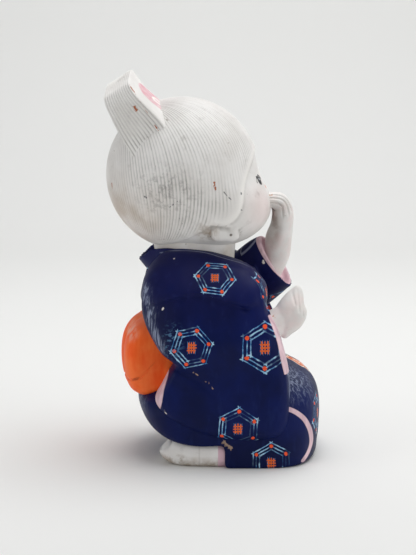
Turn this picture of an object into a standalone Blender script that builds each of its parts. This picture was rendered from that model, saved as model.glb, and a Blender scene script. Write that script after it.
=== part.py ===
"""Seated child doll of fired clay, one hollow-cast piece joined here as one closed solid.

The doll faces -Y and stands on the XY plane, +Z up. It kneels on its heels, the left hand
held to the mouth and the right hand raised from its sleeve, in a kimono with a bow behind.
"""
import math

import bmesh
import bpy
import numpy as np

# Sizes in metres
HEIGHT = 0.170
HEAD_WIDTH = 0.066
BODY_WIDTH = 0.083
SLEEVE_PROUD = 0.003
BOW_WIDTH = 0.050
BUN_WIDTH = 0.050
FOOT_SPACING = 0.046
GROOVE_DEPTH = 0.0005
NOSE_PROUD = 0.0008
FINGER_GROOVE = 0.0007
# How far the inner faces of the sleeves lie behind the sides of the bow
SLEEVE_BEHIND_BOW = 0.0047257

# The free form is drawn in parts above a zero that lies a little over the underside
UNDERSIDE = -1.2
TOP = 166.5
PART = HEIGHT / (TOP - UNDERSIDE)

# Counts that set how fine the solid is
HAIR_LOCKS = 32
HEAD_ROWS = 25
SIDES = 26

PAINT_WHITE = (0.84, 0.82, 0.79, 1.0)

# The head is a ball about this centre, in parts: across, back, up
HEAD_CENTRE = np.array((0.0, 13.4, 121.7))


def remove_everything():
    for item in list(bpy.data.objects):
        bpy.data.objects.remove(item)


def ease(value):
    value = np.clip(value, 0.0, 1.0)
    return value * value * (3.0 - 2.0 * value)


def through(points, count, closed=False):
    """Spread a smooth curve through a few points over count rows."""
    points = np.asarray(points, float)
    if closed:
        padded = np.vstack([points[-1:], points, points[:2]])
        steps = np.arange(count) * len(points) / count
    else:
        first = 2.0 * points[0] - points[1]
        last = 2.0 * points[-1] - points[-2]
        padded = np.vstack([first[None], points, last[None]])
        steps = np.linspace(0.0, len(points) - 1.0, count)
    start = np.floor(steps).astype(int)
    if not closed:
        start = np.minimum(start, len(points) - 2)
    share = (steps - start)[:, None]
    a, b, c, d = (padded[start + shift] for shift in range(4))
    curve = 2.0 * b + (c - a) * share
    curve = curve + (2.0 * a - 5.0 * b + 4.0 * c - d) * share ** 2
    curve = curve + (3.0 * b - a - 3.0 * c + d) * share ** 3
    return 0.5 * curve


def even_outline(points, count):
    """A closed smooth outline with its corners spread evenly along it."""
    fine = through(points, len(points) * 12, closed=True)
    fine = np.vstack([fine, fine[:1]])
    lengths = np.linalg.norm(np.diff(fine, axis=0), axis=1)
    along = np.concatenate([[0.0], np.cumsum(lengths)])
    wanted = np.linspace(0.0, along[-1], count, endpoint=False)
    return np.stack([np.interp(wanted, along, fine[:, axis]) for axis in (0, 1)], axis=1)


def skin(name, rings):
    """A closed body from rings of points in parts, with a point at each end."""
    rings = (np.asarray(rings, float) - np.array((0.0, 0.0, UNDERSIDE))) * PART
    rows, around, _ = rings.shape
    body = bmesh.new()
    ends = [body.verts.new(rings[0].mean(axis=0)), body.verts.new(rings[-1].mean(axis=0))]
    corners = [[body.verts.new(point) for point in ring] for ring in rings]
    for side in range(around):
        following = (side + 1) % around
        body.faces.new((ends[0], corners[0][following], corners[0][side]))
        body.faces.new((ends[1], corners[-1][side], corners[-1][following]))
        for row in range(rows - 1):
            lower = corners[row]
            upper = corners[row + 1]
            body.faces.new((lower[side], lower[following], upper[following], upper[side]))
    bmesh.ops.remove_doubles(body, verts=body.verts, dist=1e-6)
    bmesh.ops.triangulate(body, faces=body.faces)
    bmesh.ops.recalc_face_normals(body, faces=body.faces)
    mesh = bpy.data.meshes.new(name)
    body.to_mesh(mesh)
    body.free()
    item = bpy.data.objects.new(name, mesh)
    forms.objects.link(item)
    return item


def swept(stations, rows, sides, across=(1.0, 0.0, 0.0), power=2.0):
    """Rings along a curve: each station is its centre, width across and depth."""
    stations = through(stations, rows)
    centres = stations[:, :3]
    forward = np.gradient(centres, axis=0)
    forward /= np.linalg.norm(forward, axis=1)[:, None]
    across = np.asarray(across)[None] - forward * (forward @ np.asarray(across))[:, None]
    across /= np.linalg.norm(across, axis=1)[:, None]
    out = np.cross(forward, across)
    turn = np.linspace(0.0, 2.0 * math.pi, sides, endpoint=False)
    cosine = np.sign(np.cos(turn)) * np.abs(np.cos(turn)) ** (2.0 / power)
    sine = np.sign(np.sin(turn)) * np.abs(np.sin(turn)) ** (2.0 / power)
    rings = centres[:, None] + across[:, None] * (stations[:, 3, None] * cosine)[..., None]
    return rings + out[:, None] * (stations[:, 4, None] * sine)[..., None]


def near_line(points, y, z):
    """Distance from each place in the side view to a line of points."""
    line = through(points, len(points) * 6)
    gap = np.full(np.shape(y), 1e9)
    for start, end in zip(line[:-1], line[1:]):
        run = end - start
        share = ((y - start[0]) * run[0] + (z - start[1]) * run[1]) / (run @ run)
        share = np.clip(share, 0.0, 1.0)
        gap = np.minimum(gap, np.hypot(y - start[0] - share * run[0], z - start[1] - share * run[1]))
    return gap


def ball_gap(place, centre, radii):
    """Rough distance from places to a stretched ball, less than nothing inside it."""
    radii = np.asarray(radii)
    scaled = (place - np.asarray(centre)) / radii
    near = np.linalg.norm(scaled, axis=-1)
    return near * (near - 1.0) / np.maximum(np.linalg.norm(scaled / radii, axis=-1), 1e-9)


def melt(first, second, reach):
    """Joins two distances with a soft fillet of about the given reach."""
    share = np.clip(0.5 + 0.5 * (second - first) / reach, 0.0, 1.0)
    return second + (first - second) * share - reach * share * (1.0 - share)


# The head, whose points are across, forward and up from its centre

BUN_POLE = math.radians(128.0)
NAPE_POLE = math.radians(-112.0)
# How far the bare face reaches to each side, then the lower edge of the hair: forward, up
FACE_REACH = 26.8
HAIR_EDGE = ((-40.0, -31.0), (-12.0, -30.5), (-5.0, -29.4), (3.0, -26.0), (10.7, -21.5), (40.0, -21.0))


def comb_directions(columns, rows):
    """Unit directions whose columns run as combed hair does, from the bun to the nape."""
    bun = np.array((0.0, math.cos(BUN_POLE), math.sin(BUN_POLE)))
    nape = np.array((0.0, math.cos(NAPE_POLE), math.sin(NAPE_POLE)))
    middle = (bun + nape) / 2.0
    chord = (bun - nape) / 2.0
    half = np.linalg.norm(chord)
    chord /= half
    back = middle / np.linalg.norm(middle)
    side = np.array((1.0, 0.0, 0.0))
    turn = np.linspace(0.0, 2.0 * math.pi, columns, endpoint=False)
    rim = back[None] * np.cos(turn)[:, None] + side[None] * np.sin(turn)[:, None]
    reach = rim - middle[None]
    high = np.linalg.norm(reach, axis=1)
    reach /= high[:, None]
    lift = (high ** 2 - half ** 2) / (2.0 * high)
    radius = high - lift
    start = np.arctan2(-lift, half)
    share = (np.arange(rows) + 0.5) / rows
    swing = start[None] + (math.pi - 2.0 * start)[None] * share[:, None]
    flat = chord[None, None] * (radius * np.cos(swing))[..., None]
    tall = reach[None] * (lift + radius * np.sin(swing))[..., None]
    return middle[None, None] + flat + tall


def hair_share(place):
    """One where the head is hair, nothing on the face and neck."""
    across, forward, up = place[..., 0], place[..., 1], place[..., 2]
    arch = (np.abs(across) / FACE_REACH) ** 1.7 + (np.maximum(up + 17.5, 0.0) / 28.8) ** 1.7
    round_face = (arch ** (1.0 / 1.7) - 1.0) * FACE_REACH + 30.0 * ease((12.0 - forward) / 9.0)
    edge = np.asarray(HAIR_EDGE)
    above = up - np.interp(forward, edge[:, 0], edge[:, 1])
    return ease((np.minimum(round_face, above) + 0.8) / 1.6)


def head_distance(place):
    """Distance to the bald head: skull, full cheeks, chin, nose and ears."""
    half = HEAD_WIDTH / PART / 2.0
    shape = ball_gap(place, (0.0, 0.0, 0.0), (half - 0.6, 32.8, 32.8))
    cheeks = ball_gap(place, (0.0, 15.0, -14.0), (28.5, 23.8, 17.5))
    shape = melt(shape, cheeks, 7.0)
    nose = ball_gap(place, (0.0, 34.3 + NOSE_PROUD / PART, -7.6), (2.3, 2.0, 1.8))
    shape = melt(shape, nose, 2.5)
    return shape


def head_radii(directions):
    """How far out the head's surface lies in each direction."""
    inside = np.full(directions.shape[:-1], 15.0)
    outside = np.full(directions.shape[:-1], 55.0)
    for _ in range(26):
        half_way = (inside + outside) / 2.0
        within = head_distance(directions * half_way[..., None]) < 0.0
        inside = np.where(within, half_way, inside)
        outside = np.where(within, outside, half_way)
    return inside


def to_world(place):
    """From across, forward and up of the head to the doll's own axes."""
    across, forward, up = place[..., 0], place[..., 1], place[..., 2]
    return np.stack([across, HEAD_CENTRE[1] - forward, HEAD_CENTRE[2] + up], axis=-1)


def make_head():
    columns = HAIR_LOCKS * 2
    directions = comb_directions(columns, HEAD_ROWS)
    radii = head_radii(directions)
    bald = directions * radii[..., None]
    hair = hair_share(bald)
    ridge = 4.0 * hair * (1.0 - hair)
    comb = np.where(np.arange(columns) % 2 == 0, 0.0, -GROOVE_DEPTH / PART)
    radii = radii + hair * (0.7 + comb[None]) + 0.4 * ridge
    skin("head", to_world(directions * radii[..., None]))


def make_ear(name, side):
    """A low round ear at the corner of the jaw."""
    rings = []
    around = np.linspace(0.0, 2.0 * math.pi, 12, endpoint=False)
    for turn in np.radians(np.linspace(-72.0, 72.0, 6)):
        reach = math.cos(turn)
        across = side * (20.4 + 4.8 * math.sin(turn))
        ring = np.column_stack([np.full(12, across), 5.4 * reach * np.cos(around), 4.6 * reach * np.sin(around)])
        rings.append(ring + np.array((0.0, -4.8, 97.4)))
    skin(name, rings)


def make_neck():
    stations = (
        (0.0, 8.0, 76.0, 16.0, 17.0),
        (0.0, 8.0, 86.0, 15.8, 17.4),
        (0.0, 8.2, 91.5, 16.5, 18.0),
        (0.0, 9.0, 99.0, 18.0, 18.0),
    )
    skin("neck", swept(stations, 7, SIDES))


# The bun stands on the back of the crown, its flat front wrapped with a ribbon

BUN_FOOT = np.array((0.0, 27.9, 137.9))
BUN_LEAN = math.radians(32.5)
BUN_BOW = 5.2


def make_bun():
    half = BUN_WIDTH / PART / 2.0
    right_side = ((-0.96, -8.0), (-1.0, 0.0), (-0.985, 8.0), (-0.95, 14.0), (-0.91, 19.6), (-0.85, 23.2),
                  (-0.76, 24.9), (-0.5, 27.0), (-0.25, 28.3))
    left_side = tuple((-side, up) for side, up in reversed(right_side))
    arch = right_side + ((0.0, 28.7),) + left_side + ((0.5, -9.0), (0.0, -9.0), (-0.5, -9.0))
    outline = even_outline([(side * half, up) for side, up in arch], 38)
    centre = np.array((0.0, 8.0))
    # How far forward each row lies, and what share of the outline it keeps
    rows = ((-9.6, 0.4), (-9.8, 0.75), (-9.2, 0.92), (-7.0, 0.99), (0.0, 1.0), (6.0, 0.995),
            (8.4, 0.98), (8.7, 0.93), (9.0, 0.7), (9.2, 0.4))
    lean = np.array((0.0, math.sin(BUN_LEAN), math.cos(BUN_LEAN)))
    front = np.array((0.0, -math.cos(BUN_LEAN), math.sin(BUN_LEAN)))
    rings = []
    for forward, share in rows:
        flat = centre + (outline - centre) * share
        taper = 1.0 - 0.32 * ease(flat[:, 1] / 26.0)
        bow = BUN_BOW * (1.0 - (flat[:, 0] / half) ** 2) - 2.0 * ease(flat[:, 1] / 22.0)
        ring = BUN_FOOT + lean * flat[:, 1, None] + front * (forward * taper + bow)[:, None]
        ring[:, 0] += flat[:, 0]
        rings.append(ring)
    skin("bun", rings)


# The kimono: trunk and collar, skirt over the knees, and a sleeve on each side

COLLAR_BACKNESS = (-1.0, -0.5, -0.2, 0.2, 0.6, 0.82, 1.0)
COLLAR_HEIGHT = (80.5, 84.5, 87.3, 89.7, 90.5, 89.6, 84.6)


def make_trunk():
    # Height share, half width, reach in front, reach behind
    levels = ((0.0, 30.0, 20.0, 24.0), (0.25, 29.5, 22.0, 26.0), (0.5, 28.5, 22.8, 27.0),
              (0.72, 27.5, 23.0, 26.5), (0.86, 23.5, 22.0, 25.5), (0.94, 19.4, 20.6, 29.5),
              (1.0, 17.8, 19.4, 32.2), (1.0, 16.4, 17.6, 30.4), (0.93, 15.0, 15.5, 22.0))
    turn = np.linspace(0.0, 2.0 * math.pi, SIDES, endpoint=False)
    # The rim falls to the chest in front, and droops where it stands off the nape
    rim = np.interp(np.sin(turn), COLLAR_BACKNESS, COLLAR_HEIGHT)
    rings = []
    for height, width, front, back in levels:
        depth = np.where(np.sin(turn) > 0.0, back, front)
        up = 28.0 + (rim - 28.0) * height
        rings.append(np.stack([width * np.cos(turn), 1.0 + depth * np.sin(turn), up], axis=1))
    skin("trunk", rings)


def make_skirt():
    outline = even_outline(
        ((-36.0, 38.2), (-41.5, 34.6), (-45.6, 29.0), (-47.1, 22.0), (-47.1, 14.0), (-46.4, 6.0),
         (-44.0, -1.0), (-30.0, -2.0), (-14.0, -2.0), (-5.0, -1.0), (-3.6, 7.6), (3.0, 8.6), (14.0, 8.2),
         (23.0, 9.4), (28.8, 13.4), (32.4, 20.0), (33.0, 26.0), (28.0, 30.5), (18.0, 34.0),
         (0.0, 42.0), (-24.0, 42.6)), 40)
    half = (BODY_WIDTH / 2.0 - SLEEVE_PROUD) / PART
    centre = np.array((-6.0, 12.0))
    rings = []
    for turn in np.radians(np.linspace(-84.0, 84.0, 12)):
        across = math.sin(turn)
        share = math.cos(turn) ** 0.34
        flat = centre + (outline - centre) * share
        # The hem keeps its height all the way across
        flat[:, 1] = np.where(outline[:, 1] < centre[1], outline[:, 1], flat[:, 1])
        rings.append(np.column_stack([np.full(len(flat), half * across), flat]))
    skin("skirt", rings)


def make_seat():
    """What fills the space between the heels, under the skirt."""
    stations = ((0.0, 19.0, 5.5, 13.0, 5.5), (0.0, 14.0, 6.0, 15.0, 6.4), (0.0, -8.0, 6.0, 16.0, 6.4))
    skin("seat", swept(stations, 5, 20, power=5.0))


SLEEVE_OUTLINE = (
    (27.2, 78.6), (29.6, 74.0), (30.8, 67.6), (29.8, 61.0), (27.0, 54.3), (22.6, 47.6),
    (17.4, 43.2), (19.4, 38.6), (22.6, 32.4), (25.0, 27.6), (23.4, 23.6), (19.4, 19.2), (13.0, 15.4),
    (5.4, 12.2), (-4.0, 10.0), (-15.2, 9.0), (-25.4, 9.6), (-30.6, 12.6), (-32.9, 19.0),
    (-33.2, 27.5), (-32.6, 36.0), (-30.6, 42.4), (-28.2, 50.7), (-25.8, 59.1), (-23.2, 65.4),
    (-22.3, 70.3), (-21.0, 75.4), (-15.0, 79.6), (-6.0, 81.4), (6.0, 82.4), (18.0, 81.8))
SHOULDER_OUTLINE = (
    (25.6, 85.2), (28.8, 80.4), (30.6, 75.4), (31.2, 69.0), (27.0, 67.2), (22.0, 69.2), (16.2, 71.0),
    (9.9, 71.8), (3.6, 71.4), (-4.0, 69.4), (-13.3, 67.0), (-19.0, 65.8), (-22.9, 67.6), (-23.0, 74.6),
    (-19.8, 79.4), (-14.8, 83.8), (-6.0, 87.2), (4.0, 89.6), (13.0, 90.4), (20.5, 89.2))
CHEST_FOLD = ((-9.9, 74.8), (-11.6, 70.6), (-13.6, 67.8))
FOREARM = ((16.0, 50.0), (2.0, 51.5), (-12.0, 54.5), (-27.0, 57.0))


def sleeve_reach(y, z, raised):
    """How far out from the middle a sleeve's face lies, in the side view."""
    levels = ((14.0, 1.0), (32.0, 0.97), (46.0, 0.94), (58.0, 0.916), (68.0, 0.872), (76.0, 0.798),
              (83.0, 0.665), (88.0, 0.517), (93.0, 0.382))
    levels = np.asarray(levels)
    reach = np.interp(z, levels[:, 0], levels[:, 1]) * (BODY_WIDTH / PART / 2.0)
    if not raised:
        reach = reach + 2.4 * np.exp(-(near_line(FOREARM, y, z) / 9.0) ** 2)
        reach = reach - 1.6 * np.exp(-(near_line(CHEST_FOLD, y, z) / 1.6) ** 2)
    return reach - 5.0 * ease((y - 12.0) / 20.0) * ease((z - 38.0) / 16.0)


def shoulder_reach(y, z):
    """The shoulder cloth stands a little off the sleeve, most along the fold."""
    return sleeve_reach(y, z, True) + 1.0 + 0.9 * ease((80.0 - z) / 12.0)


def make_sleeve(name, side, raised):
    outline = even_outline(SLEEVE_OUTLINE, 40)
    centre = np.array((-2.0, 50.0))
    inner = (BOW_WIDTH / 2.0 - SLEEVE_BEHIND_BOW) / PART
    rings = []
    for share in (1.0, 0.992, 0.96, 0.89, 0.76, 0.6, 0.42, 0.2):
        flat = centre + (outline - centre) * share
        edge = max(1.0 - share ** 16, 0.0) ** 0.3
        reach = inner + (sleeve_reach(flat[:, 0], flat[:, 1], raised) - inner) * edge
        rings.append(np.column_stack([side * reach, flat]))
    skin(name, rings)


def make_shoulder(name, side):
    """The cloth over the shoulder, whose lower edge folds over the sleeve at the elbow."""
    outline = even_outline(SHOULDER_OUTLINE, 34)
    centre = np.array((4.0, 78.0))
    inner = 14.0
    rings = []
    for share in (1.0, 0.99, 0.94, 0.82, 0.6, 0.3):
        flat = centre + (outline - centre) * share
        edge = max(1.0 - share ** 10, 0.0) ** 0.4
        reach = inner + (shoulder_reach(flat[:, 0], flat[:, 1]) - inner) * edge
        rings.append(np.column_stack([side * reach, flat]))
    skin(name, rings)


def make_lower_arm():
    """The right forearm inside its sleeve, whose mouth stands open around the wrist."""
    stations = (
        (-29.0, 12.0, 50.0, 8.0, 8.5),
        (-28.0, 0.0, 51.6, 8.8, 9.6),
        (-26.0, -13.0, 54.0, 9.0, 10.4),
        (-24.6, -22.0, 56.0, 8.6, 10.6),
        (-24.2, -25.4, 56.8, 8.2, 10.4),
    )
    skin("lower_arm", swept(stations, 7, 24, power=2.4))


def make_raised_sleeve():
    """The left sleeve drawn up with the forearm, its mouth open to the front."""
    stations = (
        (22.0, 6.0, 60.0, 9.0, 12.0),
        (18.0, -7.2, 65.0, 9.6, 13.8),
        (13.0, -16.6, 72.8, 9.6, 13.8),
        (9.0, -23.8, 79.4, 9.2, 13.7),
        (7.4, -28.2, 82.2, 8.8, 13.0),
    )
    skin("raised_sleeve", swept(stations, 8, 24))


# The bow of the sash, a folded pad across the back

def make_bow():
    outline = even_outline(
        ((30.4, 60.4), (35.4, 57.0), (38.6, 51.4), (39.7, 44.0), (39.2, 35.8), (37.0, 28.8), (32.2, 25.4),
         (26.5, 25.0), (20.0, 28.5), (12.0, 33.0), (12.0, 57.0), (22.0, 62.5)), 28)
    half = BOW_WIDTH / PART / 2.0
    centre = np.array((22.0, 44.0))
    rings = []
    for turn in np.radians(np.linspace(-82.0, 82.0, 11)):
        share = math.cos(turn) ** 0.22
        across = half * math.sin(turn)
        knot = 1.1 * math.exp(-(across / 5.0) ** 2) - 0.8 * math.exp(-((abs(across) - 8.0) / 2.2) ** 2)
        flat = centre + (outline - centre) * share
        flat[:, 0] += knot * (outline[:, 0] > 30.0)
        rings.append(np.column_stack([np.full(len(flat), across), flat]))
    skin("bow", rings)


# Hands and feet

def make_right_hand():
    stations = (
        (-24.0, -15.0, 54.8, 4.6, 5.5),
        (-24.0, -24.0, 58.0, 4.8, 6.2),
        (-23.0, -29.2, 61.4, 5.0, 8.4),
        (-21.8, -32.4, 65.8, 4.8, 7.5),
        (-20.8, -34.6, 70.6, 4.2, 5.2),
        (-20.2, -35.8, 74.8, 2.4, 1.9),
    )
    rings = swept(stations, 12, 16)
    finger = np.arange(16) % 4 == 0
    rings[6:11, finger] += (rings[6:11].mean(axis=1)[:, None] - rings[6:11, finger]) * 0.07
    skin("right_hand", rings)


def make_left_hand():
    stations = (
        (8.0, -25.0, 77.0, 5.0, 5.4),
        (7.0, -28.4, 85.0, 5.2, 5.6),
        (5.8, -29.0, 92.0, 5.8, 5.9),
        (4.4, -30.4, 98.6, 7.0, 5.0),
        (2.6, -30.7, 104.6, 7.8, 4.7),
        (1.0, -29.0, 108.8, 7.6, 4.2),
        (0.0, -25.4, 109.9, 6.4, 3.4),
        (0.0, -22.0, 109.0, 4.6, 2.6),
    )
    rings = swept(stations, 15, 20)
    finger = np.isin(np.arange(20), (13, 15, 17))
    rings[8:14, finger] += (rings[8:14].mean(axis=1)[:, None] - rings[8:14, finger]) * (FINGER_GROOVE / PART / 4.0)
    skin("left_hand", rings)


def make_foot(name, side):
    across = side * FOOT_SPACING / PART / 2.0
    stations = (
        (across, 20.2, 6.2, 5.0, 3.2),
        (across, 19.0, 5.2, 9.0, 5.6),
        (across, 15.0, 4.3, 12.6, 6.4),
        (across, 8.0, 4.0, 13.8, 6.8),
        (across, -4.0, 3.8, 14.2, 6.8),
        (across, -12.0, 3.8, 12.0, 6.4),
    )
    skin(name, swept(stations, 8, 18, power=2.6))


# Joining, the flat underside and the material

def join_forms(name):
    """One closed solid from all the forms, cut flat where it stands."""
    items = list(forms.objects)
    whole = items[0]
    for item in items[1:]:
        union = whole.modifiers.new(item.name, "BOOLEAN")
        union.operation = "UNION"
        # The exact solver gives nothing back for the shoulder cloths
        union.solver = "MANIFOLD" if item.name in ("right_shoulder", "left_shoulder") else "EXACT"
        union.object = item
    bpy.context.view_layer.update()
    graph = bpy.context.evaluated_depsgraph_get()
    mesh = bpy.data.meshes.new_from_object(whole.evaluated_get(graph))
    whole.modifiers.clear()
    body = bmesh.new()
    body.from_mesh(mesh)
    every = list(body.verts) + list(body.edges) + list(body.faces)
    cut = bmesh.ops.bisect_plane(body, geom=every, plane_co=(0.0, 0.0, 0.0), plane_no=(0.0, 0.0, -1.0),
                                 clear_outer=True, dist=1e-7)
    rim = [edge for edge in cut["geom_cut"] if isinstance(edge, bmesh.types.BMEdge)]
    bmesh.ops.contextual_create(body, geom=rim)
    bmesh.ops.remove_doubles(body, verts=body.verts, dist=2e-5)
    bmesh.ops.dissolve_degenerate(body, edges=body.edges, dist=1e-5)
    bmesh.ops.triangulate(body, faces=body.faces)
    bmesh.ops.recalc_face_normals(body, faces=body.faces)
    lowest = min(corner.co.z for corner in body.verts)
    highest = max(corner.co.z for corner in body.verts)
    print("faces", len(body.faces), "low", lowest, "high", highest)
    body.to_mesh(mesh)
    body.free()
    mesh.name = name
    joined = bpy.data.objects.new(name, mesh)
    doll_parts.objects.link(joined)
    return joined


def painted_clay():
    material = bpy.data.materials.new("painted_clay")
    material.use_nodes = True
    shader = material.node_tree.nodes["Principled BSDF"]
    shader.inputs["Base Color"].default_value = PAINT_WHITE
    shader.inputs["Roughness"].default_value = 0.7
    shader.inputs["Metallic"].default_value = 0.0
    material.diffuse_color = PAINT_WHITE
    return material


remove_everything()
doll_parts = bpy.data.collections.new("hakata_doll")
forms = bpy.data.collections.new("forms_to_join")
bpy.context.scene.collection.children.link(doll_parts)
bpy.context.scene.collection.children.link(forms)

make_trunk()
make_head()
make_ear("right_ear", -1.0)
make_ear("left_ear", 1.0)
make_neck()
make_bun()
make_skirt()
make_seat()
make_sleeve("right_sleeve", -1.0, raised=False)
make_sleeve("left_sleeve", 1.0, raised=True)
make_shoulder("right_shoulder", -1.0)
make_shoulder("left_shoulder", 1.0)
make_lower_arm()
make_raised_sleeve()
make_bow()
make_right_hand()
make_left_hand()
make_foot("right_foot", -1.0)
make_foot("left_foot", 1.0)

doll = join_forms("doll")
doll.data.materials.clear()
doll.data.materials.append(painted_clay())
doll.data.shade_smooth()
doll.data.set_sharp_from_angle(angle=math.radians(35.0))
for form in list(forms.objects):
    bpy.data.objects.remove(form)
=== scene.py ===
import math

import bmesh
import bpy
import numpy as np
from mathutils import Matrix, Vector


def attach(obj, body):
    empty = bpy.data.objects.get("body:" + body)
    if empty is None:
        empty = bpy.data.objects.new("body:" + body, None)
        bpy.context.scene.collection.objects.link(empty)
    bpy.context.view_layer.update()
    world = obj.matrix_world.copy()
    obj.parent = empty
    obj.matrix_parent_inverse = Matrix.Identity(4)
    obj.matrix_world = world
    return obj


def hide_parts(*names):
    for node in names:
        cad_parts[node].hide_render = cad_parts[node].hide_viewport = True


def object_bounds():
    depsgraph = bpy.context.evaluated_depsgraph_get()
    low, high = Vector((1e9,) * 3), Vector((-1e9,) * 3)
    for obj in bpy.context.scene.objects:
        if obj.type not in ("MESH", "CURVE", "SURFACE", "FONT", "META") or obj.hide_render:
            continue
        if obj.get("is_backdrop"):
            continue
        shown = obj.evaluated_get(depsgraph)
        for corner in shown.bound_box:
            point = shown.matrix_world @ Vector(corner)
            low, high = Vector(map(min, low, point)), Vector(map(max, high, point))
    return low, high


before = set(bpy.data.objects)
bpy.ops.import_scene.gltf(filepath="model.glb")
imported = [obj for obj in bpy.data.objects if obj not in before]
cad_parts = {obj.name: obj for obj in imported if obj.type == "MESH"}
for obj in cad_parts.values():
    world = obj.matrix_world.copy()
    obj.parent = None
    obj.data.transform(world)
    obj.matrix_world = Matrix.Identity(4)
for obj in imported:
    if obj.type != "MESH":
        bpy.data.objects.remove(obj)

box_low, box_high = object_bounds()


# The head
# Hollow-cast clay, whitened with shell powder bound in glue. The hair is combed into the
# wet clay with a toothed tool, from the bun to the hairline and the nape. It is one casting
# with the body, so it meets the neck without a joint.

# The doll is drawn in parts of its height, in the same places as the solid
HEIGHT = 0.170
UNDERSIDE = -1.2
TOP = 166.5
PART = HEIGHT / (TOP - UNDERSIDE)

HEAD_WIDTH = 0.066
HEAD_CENTRE = np.array((0.0, 13.4, 121.7))
BUN_POLE = math.radians(128.0)
NAPE_POLE = math.radians(-112.0)
# The hair frames the face in a round arch, and ends along a line at the side and the nape
FACE_REACH = 26.8
FACE_RISE = 28.8
FACE_FOOT = -17.5
FACE_ROUNDNESS = 1.7
HAIR_EDGE = ((-40.0, -31.0), (-12.0, -30.5), (-5.0, -29.4), (3.0, -26.0), (10.7, -21.5), (40.0, -21.0))
COMB_GROOVES = 135
COMB_DEPTH = 0.00030
# Across one groove of the comb: its floor, the slope up, the top between two grooves, and the
# slope down to the next
COMB_PROFILE = (-1.0, -0.42, -0.06, 0.0, -0.06, -0.42)
HEAD_ROWS = 110


def ease(value):
    """A soft step from 0 to 1."""
    value = np.clip(value, 0.0, 1.0)
    return value * value * (3.0 - 2.0 * value)


def ball_gap(place, centre, radii):
    """About how far a place lies outside an egg shape."""
    radii = np.asarray(radii)
    scaled = (place - np.asarray(centre)) / radii
    near = np.linalg.norm(scaled, axis=-1)
    return near * (near - 1.0) / np.maximum(np.linalg.norm(scaled / radii, axis=-1), 1e-9)


def melt(first, second, reach):
    """Runs two forms together, like wet clay, where they come within reach of each other."""
    share = np.clip(0.5 + 0.5 * (second - first) / reach, 0.0, 1.0)
    return second + (first - second) * share - reach * share * (1.0 - share)


def comb_directions(columns, rows):
    """Unit directions whose columns run as the combed hair does."""
    bun = np.array((0.0, math.cos(BUN_POLE), math.sin(BUN_POLE)))
    nape = np.array((0.0, math.cos(NAPE_POLE), math.sin(NAPE_POLE)))
    middle = (bun + nape) / 2.0
    chord = (bun - nape) / 2.0
    half = np.linalg.norm(chord)
    chord /= half
    back = middle / np.linalg.norm(middle)
    side = np.array((1.0, 0.0, 0.0))
    turn = np.linspace(0.0, 2.0 * math.pi, columns, endpoint=False)
    rim = back[None] * np.cos(turn)[:, None] + side[None] * np.sin(turn)[:, None]
    reach = rim - middle[None]
    high = np.linalg.norm(reach, axis=1)
    reach /= high[:, None]
    lift = (high ** 2 - half ** 2) / (2.0 * high)
    radius = high - lift
    start = np.arctan2(-lift, half)
    share = (np.arange(rows) + 0.5) / rows
    swing = start[None] + (math.pi - 2.0 * start)[None] * share[:, None]
    flat = chord[None, None] * (radius * np.cos(swing))[..., None]
    tall = reach[None] * (lift + radius * np.sin(swing))[..., None]
    return middle[None, None] + flat + tall


def ear_distance(place):
    """Distance to a low ear: an oblong lobe with a curl over its back end."""
    mirrored = np.stack([np.abs(place[..., 0]), place[..., 1], place[..., 2]], axis=-1)
    lobe = ball_gap(mirrored, (21.6, 16.2, -23.8), (5.3, 4.2, 4.0))
    front = ball_gap(mirrored, (21.8, 21.0, -24.6), (4.4, 3.5, 3.2))
    curl = ball_gap(mirrored, (22.4, 13.4, -19.7), (4.2, 2.3, 2.5))
    return melt(melt(lobe, front, 1.6), curl, 1.0)


def head_distance(place):
    """Distance to the bald head: skull, full cheeks, nose and ears."""
    half = HEAD_WIDTH / PART / 2.0
    shape = ball_gap(place, (0.0, 0.0, 0.0), (half - 0.6, 32.8, 32.8))
    cheeks = ball_gap(place, (0.0, 15.0, -14.0), (28.5, 23.8, 17.5))
    shape = melt(shape, cheeks, 7.0)
    nose = ball_gap(place, (0.0, 35.0, -7.6), (2.3, 2.0, 1.8))
    shape = melt(shape, nose, 2.5)
    return melt(shape, ear_distance(place), 0.7)


def head_radii(directions):
    """How far the skin of the bald head lies from its centre, found by halving."""
    inside = np.full(directions.shape[:-1], 15.0)
    outside = np.full(directions.shape[:-1], 55.0)
    for _ in range(24):
        half_way = (inside + outside) / 2.0
        within = head_distance(directions * half_way[..., None]) < 0.0
        inside = np.where(within, half_way, inside)
        outside = np.where(within, outside, half_way)
    return inside


def in_metres(place):
    """From parts to metres, kept inside the solid's own box."""
    place = (np.asarray(place, float) - np.array((0.0, 0.0, UNDERSIDE))) * PART
    margin = 0.00002
    return np.clip(place, np.array(box_low) + margin, np.array(box_high) - margin)


def closed_skin(name, rings):
    """A closed body from rings of points, with a point at each end."""
    rings = np.asarray(rings, float)
    rows, around, _ = rings.shape
    ends = np.stack([rings[0].mean(axis=0), rings[-1].mean(axis=0)])
    corners = in_metres(np.concatenate([rings.reshape(-1, 3), ends]))
    first = np.arange(rows * around).reshape(rows, around)
    following = np.roll(first, -1, axis=1)
    quads = np.stack([first[:-1], following[:-1], following[1:], first[1:]], axis=-1).reshape(-1, 4)
    faces = [tuple(quad) for quad in quads.tolist()]
    low_end = rows * around
    for side in range(around):
        faces.append((low_end, int(following[0, side]), int(first[0, side])))
        faces.append((low_end + 1, int(first[-1, side]), int(following[-1, side])))
    mesh = bpy.data.meshes.new(name)
    mesh.from_pydata(corners.tolist(), [], faces)
    body = bmesh.new()
    body.from_mesh(mesh)
    bmesh.ops.recalc_face_normals(body, faces=body.faces)
    body.to_mesh(mesh)
    body.free()
    mesh.shade_smooth()
    item = bpy.data.objects.new(name, mesh)
    bpy.context.scene.collection.objects.link(item)
    return item


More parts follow.
